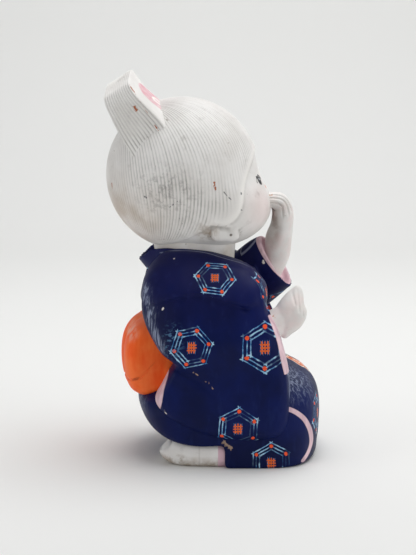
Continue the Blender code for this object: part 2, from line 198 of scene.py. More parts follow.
def store(item, name, values):
    """Keeps one number, or one colour's worth of numbers, on each corner of a piece."""
    values = np.asarray(values, float)
    kind = "FLOAT" if values.ndim == 1 else "FLOAT_VECTOR"
    held = item.data.attributes.new(name, kind, "POINT")
    held.data.foreach_set("value" if values.ndim == 1 else "vector", values.ravel())


def corners_in_parts(item):
    """Where the corners of a piece lie, in parts: across, back, up."""
    places = np.empty(len(item.data.vertices) * 3)
    item.data.vertices.foreach_get("co", places)
    return places.reshape(-1, 3) / PART + np.array((0.0, 0.0, UNDERSIDE))


def node(tree, kind, inputs=(), output=0, **settings):
    """Adds a shader node, sets it up, links what feeds it and gives one of its outputs."""
    item = tree.nodes.new("ShaderNode" + kind)
    for name, value in settings.items():
        setattr(item, name, value)
    named = inputs if isinstance(inputs, dict) else dict(enumerate(inputs))
    for key, value in named.items():
        if isinstance(value, bpy.types.NodeSocket):
            tree.links.new(value, item.inputs[key])
        else:
            item.inputs[key].default_value = value
    return item.outputs[output]


def shade(hex_colour):
    """A colour as written on screens, turned into light."""
    levels = [int(hex_colour[start:start + 2], 16) / 255.0 for start in (1, 3, 5)]
    light = [level / 12.92 if level <= 0.04045 else ((level + 0.055) / 1.055) ** 2.4 for level in levels]
    return (*light, 1.0)


def patches(tree, place, size, low, high, detail=3.0, roughness=0.55, least=0.0, most=1.0):
    """Uneven patches about size millimetres across, growing where the noise goes from low to high."""
    noise = {"Vector": place, "Scale": 1000.0 / size, "Detail": detail, "Roughness": roughness}
    inputs = (node(tree, "TexNoise", noise), low, high, least, most)
    return node(tree, "MapRange", inputs, interpolation_type="SMOOTHSTEP")


def coat(tree, under, colour, share, strength=1.0):
    """Brushes a colour over what lies under it, as far as its share and strength go."""
    if strength < 1.0:
        share = node(tree, "Math", (share, strength), operation="MULTIPLY")
    return node(tree, "Mix", {0: share, 6: under, 7: colour}, 2, data_type="RGBA")


def in_parts(tree):
    """Where a painted point lies, in parts: across, back, up."""
    place = node(tree, "TexCoord", output="Object")
    scaled = node(tree, "VectorMath", (place, (1.0 / PART,) * 3), operation="MULTIPLY")
    return place, node(tree, "VectorMath", (scaled, (0.0, 0.0, UNDERSIDE)), operation="ADD")


def scratch(tree, place, start, end, width, rough):
    """A mark along a short line, full inside its width and ragged at its edge."""
    run = Vector(end) - Vector(start)
    offset = node(tree, "VectorMath", (place, start), operation="SUBTRACT")
    share = node(tree, "VectorMath", (offset, run / run.length_squared), "Value", operation="DOT_PRODUCT")
    share = node(tree, "Clamp", (share,))
    nearest = node(tree, "VectorMath", {0: run, "Scale": share}, operation="SCALE")
    gap = node(tree, "VectorMath", (offset, nearest), "Value", operation="DISTANCE")
    gap = node(tree, "Math", (rough, -3.2 * width, gap), operation="MULTIPLY_ADD")
    return node(tree, "MapRange", (gap, width * -0.75, width * -1.15))


def spot(tree, place, centre, radii, soft):
    """An oval patch about a centre, full inside and fading over a share of its size."""
    offset = node(tree, "VectorMath", (place, centre), operation="SUBTRACT")
    offset = node(tree, "VectorMath", (offset, radii), operation="DIVIDE")
    far = node(tree, "VectorMath", (offset,), "Value", operation="LENGTH")
    return node(tree, "MapRange", (far, 1.0 + soft, 1.0 - soft), interpolation_type="SMOOTHSTEP")


def strongest(tree, shares):
    """As full as the fullest of the shares."""
    whole = shares[0]
    for share in shares[1:]:
        whole = node(tree, "Math", (whole, share), operation="MAXIMUM")
    return whole


def overlap(tree, shares):
    """Full only where all of the shares are."""
    whole = shares[0]
    for share in shares[1:]:
        whole = node(tree, "Math", (whole, share), operation="MULTIPLY")
    return whole


def marks(tree, place, rough, lines):
    """Several short marks in one coat: each line has its two ends and its width."""
    return strongest(tree, [scratch(tree, place, *line, rough) for line in lines])


def new_material(name):
    material = bpy.data.materials.new(name)
    material.use_nodes = True
    return material, material.node_tree, material.node_tree.nodes["Principled BSDF"]


columns = COMB_GROOVES * len(COMB_PROFILE)
directions = comb_directions(columns, HEAD_ROWS)
radii = head_radii(directions)
bald = directions * radii[..., None]
across, forward, up = bald[..., 0], bald[..., 1], bald[..., 2]
arch = (np.abs(across) / FACE_REACH) ** FACE_ROUNDNESS
arch = arch + (np.maximum(up - FACE_FOOT, 0.0) / FACE_RISE) ** FACE_ROUNDNESS
round_face = (arch ** (1.0 / FACE_ROUNDNESS) - 1.0) * FACE_REACH
round_face = round_face + 30.0 * ease((12.0 - forward) / 9.0)
edge = np.asarray(HAIR_EDGE)
above = up - np.interp(forward, edge[:, 0], edge[:, 1])
inside_hair = np.minimum(round_face, above)
hair = ease((inside_hair + 0.8) / 1.6)
ridge = np.exp(-((inside_hair - 0.5) / 0.8) ** 2) * (above > 2.0)
wear_and_sheen = np.exp(-(np.linalg.norm(bald - np.array((-26.5, 19.0, 5.0)), axis=-1) / 9.5) ** 2)
combed = ease((inside_hair - 0.9) / 2.6) * (1.0 - 0.85 * wear_and_sheen)
# The comb was pressed unevenly: some grooves are deeper, and each one fades here and there
tooth = np.repeat(np.arange(COMB_GROOVES), len(COMB_PROFILE))[None]
row = np.arange(HEAD_ROWS)[:, None]
pressed = 0.78 + 0.22 * np.sin(tooth * 2.4) * np.sin(tooth * 0.7 + 1.0)
pressed = pressed * (0.86 + 0.14 * np.sin(row * 0.13 + tooth * 1.9))
combed = combed * pressed
profile = np.tile(COMB_PROFILE, COMB_GROOVES)[None]
on_ear = ease((0.8 - ear_distance(bald)) / 0.5)
combed = combed * (1.0 - on_ear)
radii = radii + (hair * 0.7 + 0.5 * ridge) * (1.0 - on_ear) + profile * combed * COMB_DEPTH / PART
# Painted shade, along with dirt, in the crease in front of the hairline, and dirt around the ear
crease_shade_and_dirt = np.exp(-((inside_hair + 0.7) / 0.5) ** 2) * (above > 1.0) * 0.5
crease_shade_and_dirt = np.maximum(crease_shade_and_dirt, np.exp(-((ear_distance(bald) - 0.7) / 0.45) ** 2))
place = directions * radii[..., None]
rings = np.stack([place[..., 0], HEAD_CENTRE[1] - place[..., 1], HEAD_CENTRE[2] + place[..., 2]], axis=-1)
head = closed_skin("doll_head", rings)
ends = np.zeros(2)
store(head, "groove", np.concatenate([np.maximum(-profile * combed, crease_shade_and_dirt).ravel(), ends]))
store(head, "ridge", np.concatenate([ridge.ravel(), ends]))

# Shell-white paint, brushed on and rubbed: chalky, warm where it is handled, with grey dirt lodged in
# the grooves, painted shade in the crease before the hairline, and small chips down to the red-brown clay
CLAY = shade("#A8623F")
SOOT = shade("#3A3A3E")


def shell_white(name):
    """The white paint that head, neck, hands and feet share, ready for its own marks."""
    material, tree, shader = new_material(name)
    metres, place = in_parts(tree)
    mottle = patches(tree, metres, 18.2, 0.35, 0.68, detail=4.0)
    base = coat(tree, shade("#EFEDEA"), shade("#E2DFDB"), mottle)
    stain = patches(tree, metres, 7.7, 0.56, 0.78, detail=5.0, roughness=0.65)
    base = coat(tree, base, shade("#B4AFAA"), stain, 0.55)
    specks = patches(tree, metres, 1.92, 0.735, 0.77, detail=2.0)
    base = coat(tree, base, shade("#8D8377"), specks, 0.6)
    # The groove attribute holds the grooves' dirt, and on the head also the painted shade before the hairline
    groove = node(tree, "Attribute", (), "Fac", attribute_name="groove")
    dirt_and_shade = patches(tree, metres, 16.7, 0.36, 0.66, detail=5.0, roughness=0.65, least=0.12, most=0.62)
    base = coat(tree, base, shade("#7D7670"), overlap(tree, [groove, dirt_and_shade]))
    shader.inputs["Roughness"].default_value = 0.62
    shader.inputs["IOR"].default_value = 1.45
    fine_marks = {"Vector": metres, "Scale": 1000.0 / 1.43, "Detail": 4.0, "Roughness": 0.6}
    brushing = node(tree, "TexNoise", fine_marks)
    bump = node(tree, "Bump", {"Height": brushing, "Strength": 0.35, "Distance": 0.00025})
    tree.links.new(bump, shader.inputs["Normal"])
    return material, tree, shader, metres, place, base


head_paint, tree, shader, metres, place, base = shell_white("shell_white_head")
rough = node(tree, "TexNoise", {"Vector": metres, "Scale": 1000.0 / 1.11, "Detail": 3.0, "Roughness": 0.55})
smudge = spot(tree, place, (-30.0, 20.0, 116.0), (14.0, 14.0, 10.0), 0.6)
smudge = overlap(tree, [smudge, patches(tree, metres, 2.38, 0.5, 0.64, detail=5.0, roughness=0.7)])
base = coat(tree, base, shade("#8E8B89"), smudge, 0.5)
# Handling has darkened the grooves over the side, and brown dirt has gathered behind the ears
handled = spot(tree, place, (-30.0, 16.0, 112.0), (16.0, 17.0, 17.0), 0.8)
groove = node(tree, "Attribute", (), "Fac", attribute_name="groove")
uneven = patches(tree, metres, 10.5, 0.42, 0.62, detail=4.0, least=0.1, most=0.75)
handled = overlap(tree, [handled, groove, uneven])
base = coat(tree, base, shade("#6A6562"), handled)
# Painted warm shade low on the back of the head, in uneven patches
low_back_shade = spot(tree, place, (-18.0, 37.0, 105.0), (22.0, 14.0, 13.0), 0.8)
uneven = patches(tree, metres, 13.3, 0.35, 0.65, detail=4.0, least=0.25, most=0.7)
low_back_shade = overlap(tree, [low_back_shade, uneven])
base = coat(tree, base, shade("#B5A595"), low_back_shade)
behind_ear = strongest(tree, [spot(tree, place, (side * 23.0, 2.4, 98.6), (6.0, 4.2, 5.4), 0.7)
                              for side in (-1.0, 1.0)])
uneven = patches(tree, metres, 3.85, 0.4, 0.62, detail=4.0, roughness=0.65, least=0.15, most=0.8)
behind_ear = overlap(tree, [behind_ear, uneven])
base = coat(tree, base, shade("#9C8B78"), behind_ear)
# A painted highlight along the raised ridge of the hairline
rub_and_highlight = node(tree, "Attribute", (), "Fac", attribute_name="ridge")
base = coat(tree, base, shade("#F6F3EE"), rub_and_highlight, 0.8)
blush = strongest(tree, [spot(tree, place, (side * 14.0, -19.0, 108.0), (9.0, 9.0, 7.5), 0.75)
                         for side in (-1.0, 1.0)])
base = coat(tree, base, shade("#E58E8A"), blush, 0.16)
scratches = (
    ((-30.0, 18.3, 109.7), (-30.9, 15.1, 112.2), 0.34), ((-31.2, 13.6, 113.3), (-31.5, 9.8, 116.6), 0.26),
    ((-28.6, 14.9, 106.2), (-26.2, 12.5, 101.3), 0.34), ((-28.6, -4.4, 115.9), (-27.6, -7.6, 112.2), 0.34),
    ((-25.4, -11.9, 115.5), (-25.0, -11.6, 112.5), 0.4), ((-22.4, -14.2, 115.6), (-22.3, -14.4, 114.6), 0.3),
    ((-27.6, 28.7, 113.9), (-27.6, 28.2, 113.5), 0.6), ((-26.4, -11.2, 108.3), (-25.6, -12.4, 107.9), 0.3),
    ((-20.2, -15.8, 102.4), (-18.8, -17.2, 102.2), 0.3), ((-22.5, 3.5, 95.0), (-23.2, 0.2, 96.8), 0.4))
base = coat(tree, base, SOOT, marks(tree, place, rough, scratches), 0.85)
chips = (
    ((-29.8, -0.3, 119.8), (-29.7, -0.9, 117.2), 0.6), ((-13.6, 43.6, 118.6), (-13.3, 43.7, 116.4), 0.6),
    ((-24.0, 1.6, 93.9), (-22.0, -3.2, 92.2), 0.8), ((-22.0, -3.2, 92.2), (-22.6, -6.6, 92.6), 0.6))
base = coat(tree, base, CLAY, marks(tree, place, rough, chips))
# The lips behind the raised hand, then eyes with a lash line and a glint, brows, and painted shade in the ear
# holes
lips = spot(tree, place, (0.0, -24.0, 103.8), (2.6, 6.0, 1.2), 0.2)
base = coat(tree, base, shade("#C9523E"), lips)
LASH_LINE = ((6.2, 120.0), (8.6, 121.4), (11.4, 120.8), (13.0, 118.6))
flat = node(tree, "VectorMath", (place, (1.0, 0.0, 1.0)), operation="MULTIPLY")
in_front = node(tree, "MapRange", (node(tree, "SeparateXYZ", (place,), 1), -8.0, -9.0))
for side in (-1.0, 1.0):
    eye = spot(tree, place, (side * 9.5, -20.0, 119.2), (1.9, 9.0, 1.8), 0.15)
    base = coat(tree, base, shade("#2B2A2E"), eye)
    for start, end in zip(LASH_LINE[:-1], LASH_LINE[1:]):
        lash = scratch(tree, flat, (side * start[0], 0.0, start[1]), (side * end[0], 0.0, end[1]), 0.6, rough)
        lash = overlap(tree, [lash, in_front])
        base = coat(tree, base, shade("#1F1E22"), lash, 0.9)
    glint = spot(tree, place, (side * 9.2, -20.0, 119.9), (0.5, 9.0, 0.5), 0.3)
    base = coat(tree, base, shade("#D9DDE0"), glint)
    brow = scratch(tree, place, (side * 7.0, -19.0, 128.4), (side * 11.6, -17.8, 128.8), 0.6, rough)
    base = coat(tree, base, shade("#5A5A5F"), brow, 0.75)
    corner = spot(tree, place, (side * 3.4, -22.0, 116.2), (1.0, 4.0, 0.8), 0.5)
    base = coat(tree, base, shade("#D9785E"), corner, 0.6)
    ear_hole_shade = spot(tree, place, (side * 24.9, -7.4, 97.4), (2.0, 0.7, 0.6), 0.3)
    base = coat(tree, base, shade("#6E645C"), ear_hole_shade)
tree.links.new(base, shader.inputs["Base Color"])
head.data.materials.append(head_paint)
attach(head, "root")
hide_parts("doll")


# The hair bun
# A standing loop of hair, cast with the head and combed around its sides and top. Its flat
# front carries a painted ribbon.

BUN_WIDTH = 0.050
BUN_FOOT = np.array((0.0, 27.9, 137.9))
BUN_LEAN = math.radians(32.5)
BUN_BOW = 5.2
BUN_DEPTH = 18.4
BUN_GROOVES = 12


def through(points, count, closed=False):
    """Spreads a smooth curve through a few points over count rows."""
    points = np.asarray(points, float)
    if closed:
        padded = np.vstack([points[-1:], points, points[:2]])
        steps = np.arange(count) * len(points) / count
    else:
        padded = np.vstack([2.0 * points[0] - points[1], points, 2.0 * points[-1] - points[-2]])
        steps = np.linspace(0.0, len(points) - 1.0, count)
    start = np.floor(steps).astype(int)
    if not closed:
        start = np.minimum(start, len(points) - 2)
    share = (steps - start)[:, None]
    before, near, far, after = (padded[start + shift] for shift in range(4))
    curve = 2.0 * near + (far - before) * share
    curve = curve + (2.0 * before - 5.0 * near + 4.0 * far - after) * share ** 2
    curve = curve + (3.0 * near - before - 3.0 * far + after) * share ** 3
    return 0.5 * curve


def even_outline(points, count):
    """A closed smooth outline with its corners spread evenly along it."""
    fine = through(points, len(points) * 24, closed=True)
    fine = np.vstack([fine, fine[:1]])
    lengths = np.linalg.norm(np.diff(fine, axis=0), axis=1)
    along = np.concatenate([[0.0], np.cumsum(lengths)])
    wanted = np.linspace(0.0, along[-1], count, endpoint=False)
    return np.stack([np.interp(wanted, along, fine[:, axis]) for axis in (0, 1)], axis=1)


half = BUN_WIDTH / PART / 2.0
right_side = ((-0.96, -8.0), (-1.0, 0.0), (-0.985, 8.0), (-0.95, 14.0), (-0.91, 19.6), (-0.85, 23.2),
              (-0.76, 24.9), (-0.5, 27.0), (-0.25, 28.3))
left_side = tuple((-side, height) for side, height in reversed(right_side))
arch = right_side + ((0.0, 28.7),) + left_side + ((0.5, -9.0), (0.0, -9.0), (-0.5, -9.0))
outline = even_outline([(side * half, height) for side, height in arch], 260)
centre = np.array((0.0, 8.0))
lean = np.array((0.0, math.sin(BUN_LEAN), math.cos(BUN_LEAN)))
front = np.array((0.0, -math.cos(BUN_LEAN), math.sin(BUN_LEAN)))
# Each row from back to front: how far forward it lies, its size, and how deep a groove cuts it
rows = [(-9.6, 0.3, 0.0), (-9.7, 0.6, 0.0), (-9.5, 0.86, 0.0)]
steps = BUN_GROOVES * 6
for step in range(steps + 1):
    depth = -9.1 + BUN_DEPTH * step / steps * 0.97
    phase = (step % 6) / 6.0
    cut = max(0.0, 1.0 - abs(phase - 0.5) / 0.28)
    rows.append((depth, 1.0 - 0.006 * (step == 0), cut))
rows += [(8.95, 0.99, 0.0), (9.1, 0.975, 0.0), (9.2, 0.95, 0.0)]
rows += [(9.2, share, 0.0) for share in (0.9, 0.84, 0.76, 0.68, 0.6, 0.5, 0.4, 0.3, 0.2, 0.1)]
rings = []
grooves = []
for forward, share, cut in rows:
    flat = centre + (outline - centre) * share
    inward = (outline - centre) / np.linalg.norm(outline - centre, axis=1)[:, None]
    flat = flat - inward * cut * COMB_DEPTH / PART
    taper = 1.0 - 0.32 * ease(flat[:, 1] / 26.0)
    bow = BUN_BOW * (1.0 - (flat[:, 0] / half) ** 2) - 2.0 * ease(flat[:, 1] / 22.0)
    ring = BUN_FOOT + lean * flat[:, 1, None] + front * (forward * taper + bow)[:, None]
    ring[:, 0] += flat[:, 0]
    rings.append(ring)
    grooves.append(np.full(len(ring), cut))
bun = closed_skin("hair_bun", rings)
store(bun, "groove", np.concatenate([np.concatenate(grooves), ends]))
bun_paint, tree, shader, metres, place, base = shell_white("shell_white_bun")
rough = node(tree, "TexNoise", {"Vector": metres, "Scale": 1000.0 / 1.11, "Detail": 3.0, "Roughness": 0.55})
# The ribbon is painted on the front face: how far across, and how far up the lean
from_foot = node(tree, "VectorMath", (place, BUN_FOOT), operation="SUBTRACT")
across = node(tree, "SeparateXYZ", (place,))
across = node(tree, "Math", (across,), operation="ABSOLUTE")
height = node(tree, "VectorMath", (from_foot, lean), "Value", operation="DOT_PRODUCT")
facing = node(tree, "VectorMath", (from_foot, front), "Value", operation="DOT_PRODUCT")
flat = node(tree, "CombineXYZ", (across, height))
face = node(tree, "MapRange", (node(tree, "Math", (across, 0.2, facing), operation="MULTIPLY_ADD"), 7.6, 8.4))
loop = spot(tree, flat, (8.4, 12.2, 0.0), (8.2, 9.4, 100.0), 0.06)
knot = spot(tree, flat, (0.0, 12.0, 0.0), (3.0, 3.4, 100.0), 0.1)
streaks = patches(tree, metres, 3.85, 0.3, 0.66, detail=4.0, least=0.35)
ribbon = overlap(tree, [strongest(tree, [loop, knot]), face, streaks])
base = coat(tree, base, shade("#DFA5AF"), ribbon)
CURL_RADIUS = 2.2
curl = node(tree, "VectorMath", (flat, (9.4, 11.0, 0.0)), "Value", operation="DISTANCE")
curl = node(tree, "Math", (curl, CURL_RADIUS), operation="SUBTRACT")
curl = node(tree, "Math", (curl,), operation="ABSOLUTE")
curl = node(tree, "MapRange", (curl, 0.8, 0.4))
base = coat(tree, base, shade("#F5EFEA"), overlap(tree, [curl, face]))
# The clay shows along the rubbed edge between side and front
RIM_REACH = 5.9
rim = node(tree, "Math", (facing, RIM_REACH), operation="SUBTRACT")
rim = node(tree, "Math", (rim,), operation="ABSOLUTE")
rim = node(tree, "Math", (rough, 1.4, rim), operation="MULTIPLY_ADD")
near_rim = node(tree, "MapRange", (rim, 0.95, 0.75))
at_side = node(tree, "MapRange", (across, 20.0, 21.0))
rim = overlap(tree, [near_rim, at_side, patches(tree, metres, 5.88, 0.45, 0.55)])
chips = (((-23.4, 33.4, 151.6), (-23.5, 32.6, 150.2), 0.7), ((-22.0, 43.6, 147.0), (-22.4, 42.8, 145.6), 0.6))
base = coat(tree, base, CLAY, strongest(tree, [marks(tree, place, rough, chips), rim]))
tree.links.new(base, shader.inputs["Base Color"])
bun.data.materials.append(bun_paint)
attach(bun, "root")
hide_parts("doll")


# The kimono
# Cast with the body and painted dark blue. Trunk, skirt, shoulders and sleeves are modelled
# as soft forms that run together, as the plaster mould gives them.

BODY_WIDTH = 0.083
SLEEVE_PROUD = 0.003
COLLAR_BACKNESS = (-1.0, -0.5, -0.2, 0.2, 0.6, 0.82, 1.0)
COLLAR_HEIGHT = (80.5, 84.5, 87.3, 89.7, 90.5, 89.6, 84.6)
SLEEVE_OUTLINE = (
    (27.2, 78.6), (29.6, 74.0), (30.8, 67.6), (29.8, 61.0), (27.0, 54.3), (22.6, 47.6),
    (17.4, 43.2), (19.4, 38.6), (22.6, 32.4), (25.0, 27.6), (23.4, 23.6), (19.4, 19.2), (13.0, 15.4),
    (5.4, 12.2), (-4.0, 10.0), (-15.2, 9.0), (-25.4, 9.6), (-30.6, 12.6), (-32.9, 19.0),
    (-33.2, 27.5), (-32.8, 36.0), (-31.8, 42.4), (-29.6, 50.7), (-26.8, 59.1), (-23.2, 65.4),
    (-22.3, 70.3), (-21.0, 75.4), (-15.0, 79.6), (-6.0, 81.4), (6.0, 82.4), (18.0, 81.8))
SHOULDER_OUTLINE = (
    (25.6, 85.2), (28.8, 80.4), (30.6, 75.4), (31.2, 69.0), (27.0, 67.2), (22.0, 69.2), (16.2, 71.0),
    (9.9, 71.8), (3.6, 71.4), (-4.0, 69.4), (-13.3, 67.0), (-19.0, 65.8), (-22.9, 67.6), (-23.0, 74.6),
    (-19.8, 79.4), (-14.8, 83.8), (-6.0, 87.2), (4.0, 89.6), (13.0, 90.4), (20.5, 89.2))
CHEST_FOLD = ((-9.9, 74.8), (-11.6, 70.6), (-13.6, 67.8))
FOREARM = ((16.0, 50.0), (2.0, 51.5), (-12.0, 54.5), (-27.0, 57.0))
ELBOW_CREASE = ((17.4, 43.2), (10.7, 39.4), (4.5, 35.4), (-0.8, 30.9))


def swept(stations, rows, sides, across=(1.0, 0.0, 0.0), power=2.0):
    """Rings along a curve: each station is its centre, width across and depth."""
    stations = through(stations, rows)
    centres = stations[:, :3]
    forward = np.gradient(centres, axis=0)
    forward /= np.linalg.norm(forward, axis=1)[:, None]
    across = np.asarray(across)[None] - forward * (forward @ np.asarray(across))[:, None]
    across /= np.linalg.norm(across, axis=1)[:, None]
    out = np.cross(forward, across)
    turn = np.linspace(0.0, 2.0 * math.pi, sides, endpoint=False)
    cosine = np.sign(np.cos(turn)) * np.abs(np.cos(turn)) ** (2.0 / power)
    sine = np.sign(np.sin(turn)) * np.abs(np.sin(turn)) ** (2.0 / power)
    rings = centres[:, None] + across[:, None] * (stations[:, 3, None] * cosine)[..., None]
    return rings + out[:, None] * (stations[:, 4, None] * sine)[..., None]


def near_line(points, y, z):
    """Distance from each place in the side view to a line of points."""
    line = through(points, len(points) * 6)
    gap = np.full(np.shape(y), 1e9)
    for start, end in zip(line[:-1], line[1:]):
        run = end - start
        share = ((y - start[0]) * run[0] + (z - start[1]) * run[1]) / (run @ run)
        share = np.clip(share, 0.0, 1.0)
        gap = np.minimum(gap, np.hypot(y - start[0] - share * run[0], z - start[1] - share * run[1]))
    return gap


def trunk_form():
    """The body up to the collar, which dips in front and at the nape."""
    levels = ((0.0, 30.0, 20.0, 24.0), (0.25, 29.5, 22.0, 26.0), (0.5, 28.5, 22.8, 27.0),
              (0.72, 27.5, 23.0, 26.5), (0.86, 23.5, 22.0, 25.5), (0.94, 19.4, 20.6, 29.5),
              (1.0, 17.8, 19.4, 32.2), (1.0, 16.4, 17.6, 30.4), (0.93, 15.0, 15.5, 22.0))
    turn = np.linspace(0.0, 2.0 * math.pi, 120, endpoint=False)
    rim = np.interp(np.sin(turn), COLLAR_BACKNESS, COLLAR_HEIGHT)
    rings = []
    for height, width, front, back in levels:
        depth = np.where(np.sin(turn) > 0.0, back, front)
        up = 28.0 + (rim - 28.0) * height
        rings.append(np.stack([width * np.cos(turn), 1.0 + depth * np.sin(turn), up], axis=1))
    return closed_skin("trunk", rings)


def skirt_form():
    """The skirt over the folded legs, rounded off towards both sides."""
    outline = even_outline(
        ((-36.0, 38.2), (-41.5, 34.6), (-45.6, 29.0), (-47.1, 22.0), (-47.1, 14.0), (-46.4, 6.0),
         (-44.0, -1.0), (-30.0, -2.0), (-14.0, -2.0), (-5.0, -1.0), (-3.6, 7.6), (3.0, 8.6), (14.0, 8.2),
         (23.0, 9.4), (28.8, 13.4), (32.4, 20.0), (33.0, 26.0), (28.0, 30.5), (18.0, 34.0),
         (0.0, 42.0), (-24.0, 42.6)), 200)
    half = (BODY_WIDTH / 2.0 - SLEEVE_PROUD) / PART
    centre = np.array((-6.0, 12.0))
    rings = []
    for turn in np.radians(np.linspace(-87.0, 87.0, 60)):
        flat = centre + (outline - centre) * math.cos(turn) ** 0.34
        # The hem keeps its height all the way across
        flat[:, 1] = np.where(outline[:, 1] < centre[1], outline[:, 1], flat[:, 1])
        rings.append(np.column_stack([np.full(len(flat), half * math.sin(turn)), flat]))
    return closed_skin("skirt", rings)


def seat_form():
    """A low block that joins the skirt to the floor between the feet."""
    stations = ((0.0, 19.0, 5.5, 13.0, 5.5), (0.0, 14.0, 6.0, 15.0, 6.4), (0.0, -8.0, 6.0, 16.0, 6.4))
    return closed_skin("seat", swept(stations, 12, 48, power=5.0))


def sleeve_reach(y, z, raised):
    """How far out from the middle a sleeve's face lies, in the side view."""
    levels = np.asarray(((14.0, 1.0), (32.0, 0.97), (46.0, 0.94), (58.0, 0.916), (68.0, 0.872),
                         (76.0, 0.798), (83.0, 0.665), (88.0, 0.517), (93.0, 0.382)))
    levels = through(levels, 80)
    reach = np.interp(z, levels[:, 0], levels[:, 1]) * (BODY_WIDTH / PART / 2.0)
    if not raised:
        reach = reach + 2.4 * np.exp(-(near_line(FOREARM, y, z) / 9.0) ** 2)
        reach = reach - 1.6 * np.exp(-(near_line(CHEST_FOLD, y, z) / 1.6) ** 2)
        depth = ease((y + 3.0) / 14.0)
        reach = reach - 1.2 * depth * np.exp(-(near_line(ELBOW_CREASE, y, z) / 1.2) ** 2)
    return reach - 5.0 * ease((y - 12.0) / 20.0) * ease((z - 38.0) / 16.0)


def slab_form(name, side, outline, centre, inner, steepness, roundness, reach_of):
    """A slab of cloth in the side view, whose face swells out and turns in at the edge."""
    outline = even_outline(outline, 220)
    centre = np.array(centre)
    rings = []
    for step in np.linspace(0.0, 1.0, 44):
        share = 1.0 - 0.97 * step ** 2.4
        flat = centre + (outline - centre) * share
        edge = max(1.0 - share ** steepness, 0.0) ** roundness
        reach = inner + (reach_of(flat[:, 0], flat[:, 1]) - inner) * edge
        rings.append(np.column_stack([side * reach, flat]))
    return closed_skin(name, rings)


def sleeve_form(name, side, raised):
    return slab_form(name, side, SLEEVE_OUTLINE, (-2.0, 50.0), 20.0, 16, 0.3,
                     lambda y, z: sleeve_reach(y, z, raised))


def shoulder_form(name, side):
    return slab_form(name, side, SHOULDER_OUTLINE, (4.0, 78.0), 14.0, 10, 0.4,
                     lambda y, z: sleeve_reach(y, z, True) + 1.0 + 0.9 * ease((80.0 - z) / 12.0))


RAISED_ELBOW = (18.0, -7.2, 65.0, 9.6, 13.8)
RAISED_MOUTH = (7.4, -28.2, 82.2, 8.8, 13.0)


def open_mouth(rings, wall, depth):
    """Turns the last ring of a sleeve in and back, as a shallow hollow around the wrist."""
    last = rings[-1]
    middle = last.mean(axis=0)
    back = rings[-6].mean(axis=0) - middle
    back /= np.linalg.norm(back)
    reach = np.linalg.norm(last - middle, axis=1)[:, None]
    inner = middle + (last - middle) * (reach - wall) / reach
    turned = [inner + back * depth * share for share in (0.0, 0.3, 0.6, 0.9)]
    floor = middle + (inner - middle) * 0.5 + back * depth
    return np.concatenate([rings, np.stack(turned + [floor])])


def lower_arm_form():
    stations = ((-29.0, 12.0, 50.0, 8.0, 8.5), (-28.0, 0.0, 51.6, 8.8, 9.6), (-26.0, -13.0, 54.0, 9.0, 10.4),
                (-24.6, -22.0, 56.0, 8.6, 10.6), (-24.2, -25.4, 56.8, 8.2, 10.4))
    return closed_skin("lower_arm", open_mouth(swept(stations, 40, 80, power=2.4), 1.3, 3.0))


def raised_sleeve_form():
    stations = ((22.0, 6.0, 60.0, 9.0, 12.0), RAISED_ELBOW, (13.0, -16.6, 72.8, 9.6, 13.8),
                (9.0, -23.8, 79.4, 9.2, 13.7), RAISED_MOUTH)
    return closed_skin("raised_sleeve", open_mouth(swept(stations, 50, 90), 1.3, 3.5))


def run_together(name, items, voxel, rounds):
    """Melts closed forms into one skin and softens the creases between them."""
    body = bmesh.new()
    for item in items:
        body.from_mesh(item.data)
        bpy.data.objects.remove(item)
    mesh = bpy.data.meshes.new(name)
    body.to_mesh(mesh)
    body.free()
    rough = bpy.data.objects.new(name, mesh)
    bpy.context.scene.collection.objects.link(rough)
    remesh = rough.modifiers.new("one skin", "REMESH")
    remesh.mode = "VOXEL"
    remesh.voxel_size = voxel
    smooth = rough.modifiers.new("soft creases", "SMOOTH")
    smooth.factor = 0.5
    smooth.iterations = rounds
    bpy.context.view_layer.update()
    graph = bpy.context.evaluated_depsgraph_get()
    melted = bpy.data.meshes.new_from_object(rough.evaluated_get(graph))
    rough.modifiers.clear()
    rough.data = melted
    melted.shade_smooth()
    places = in_metres(corners_in_parts(rough))
    melted.vertices.foreach_set("co", places.ravel())
    melted.update()
    return rough


sleeve_forms = [sleeve_form("sleeve", -1.0, False), shoulder_form("shoulder", -1.0), lower_arm_form()]
right_sleeve = run_together("right_sleeve", sleeve_forms, 0.00048, 3)
kimono = run_together("kimono", [trunk_form(), skirt_form(), seat_form(), sleeve_form("sleeve", 1.0, True),
                                 shoulder_form("shoulder", 1.0), raised_sleeve_form()], 0.00066, 3)

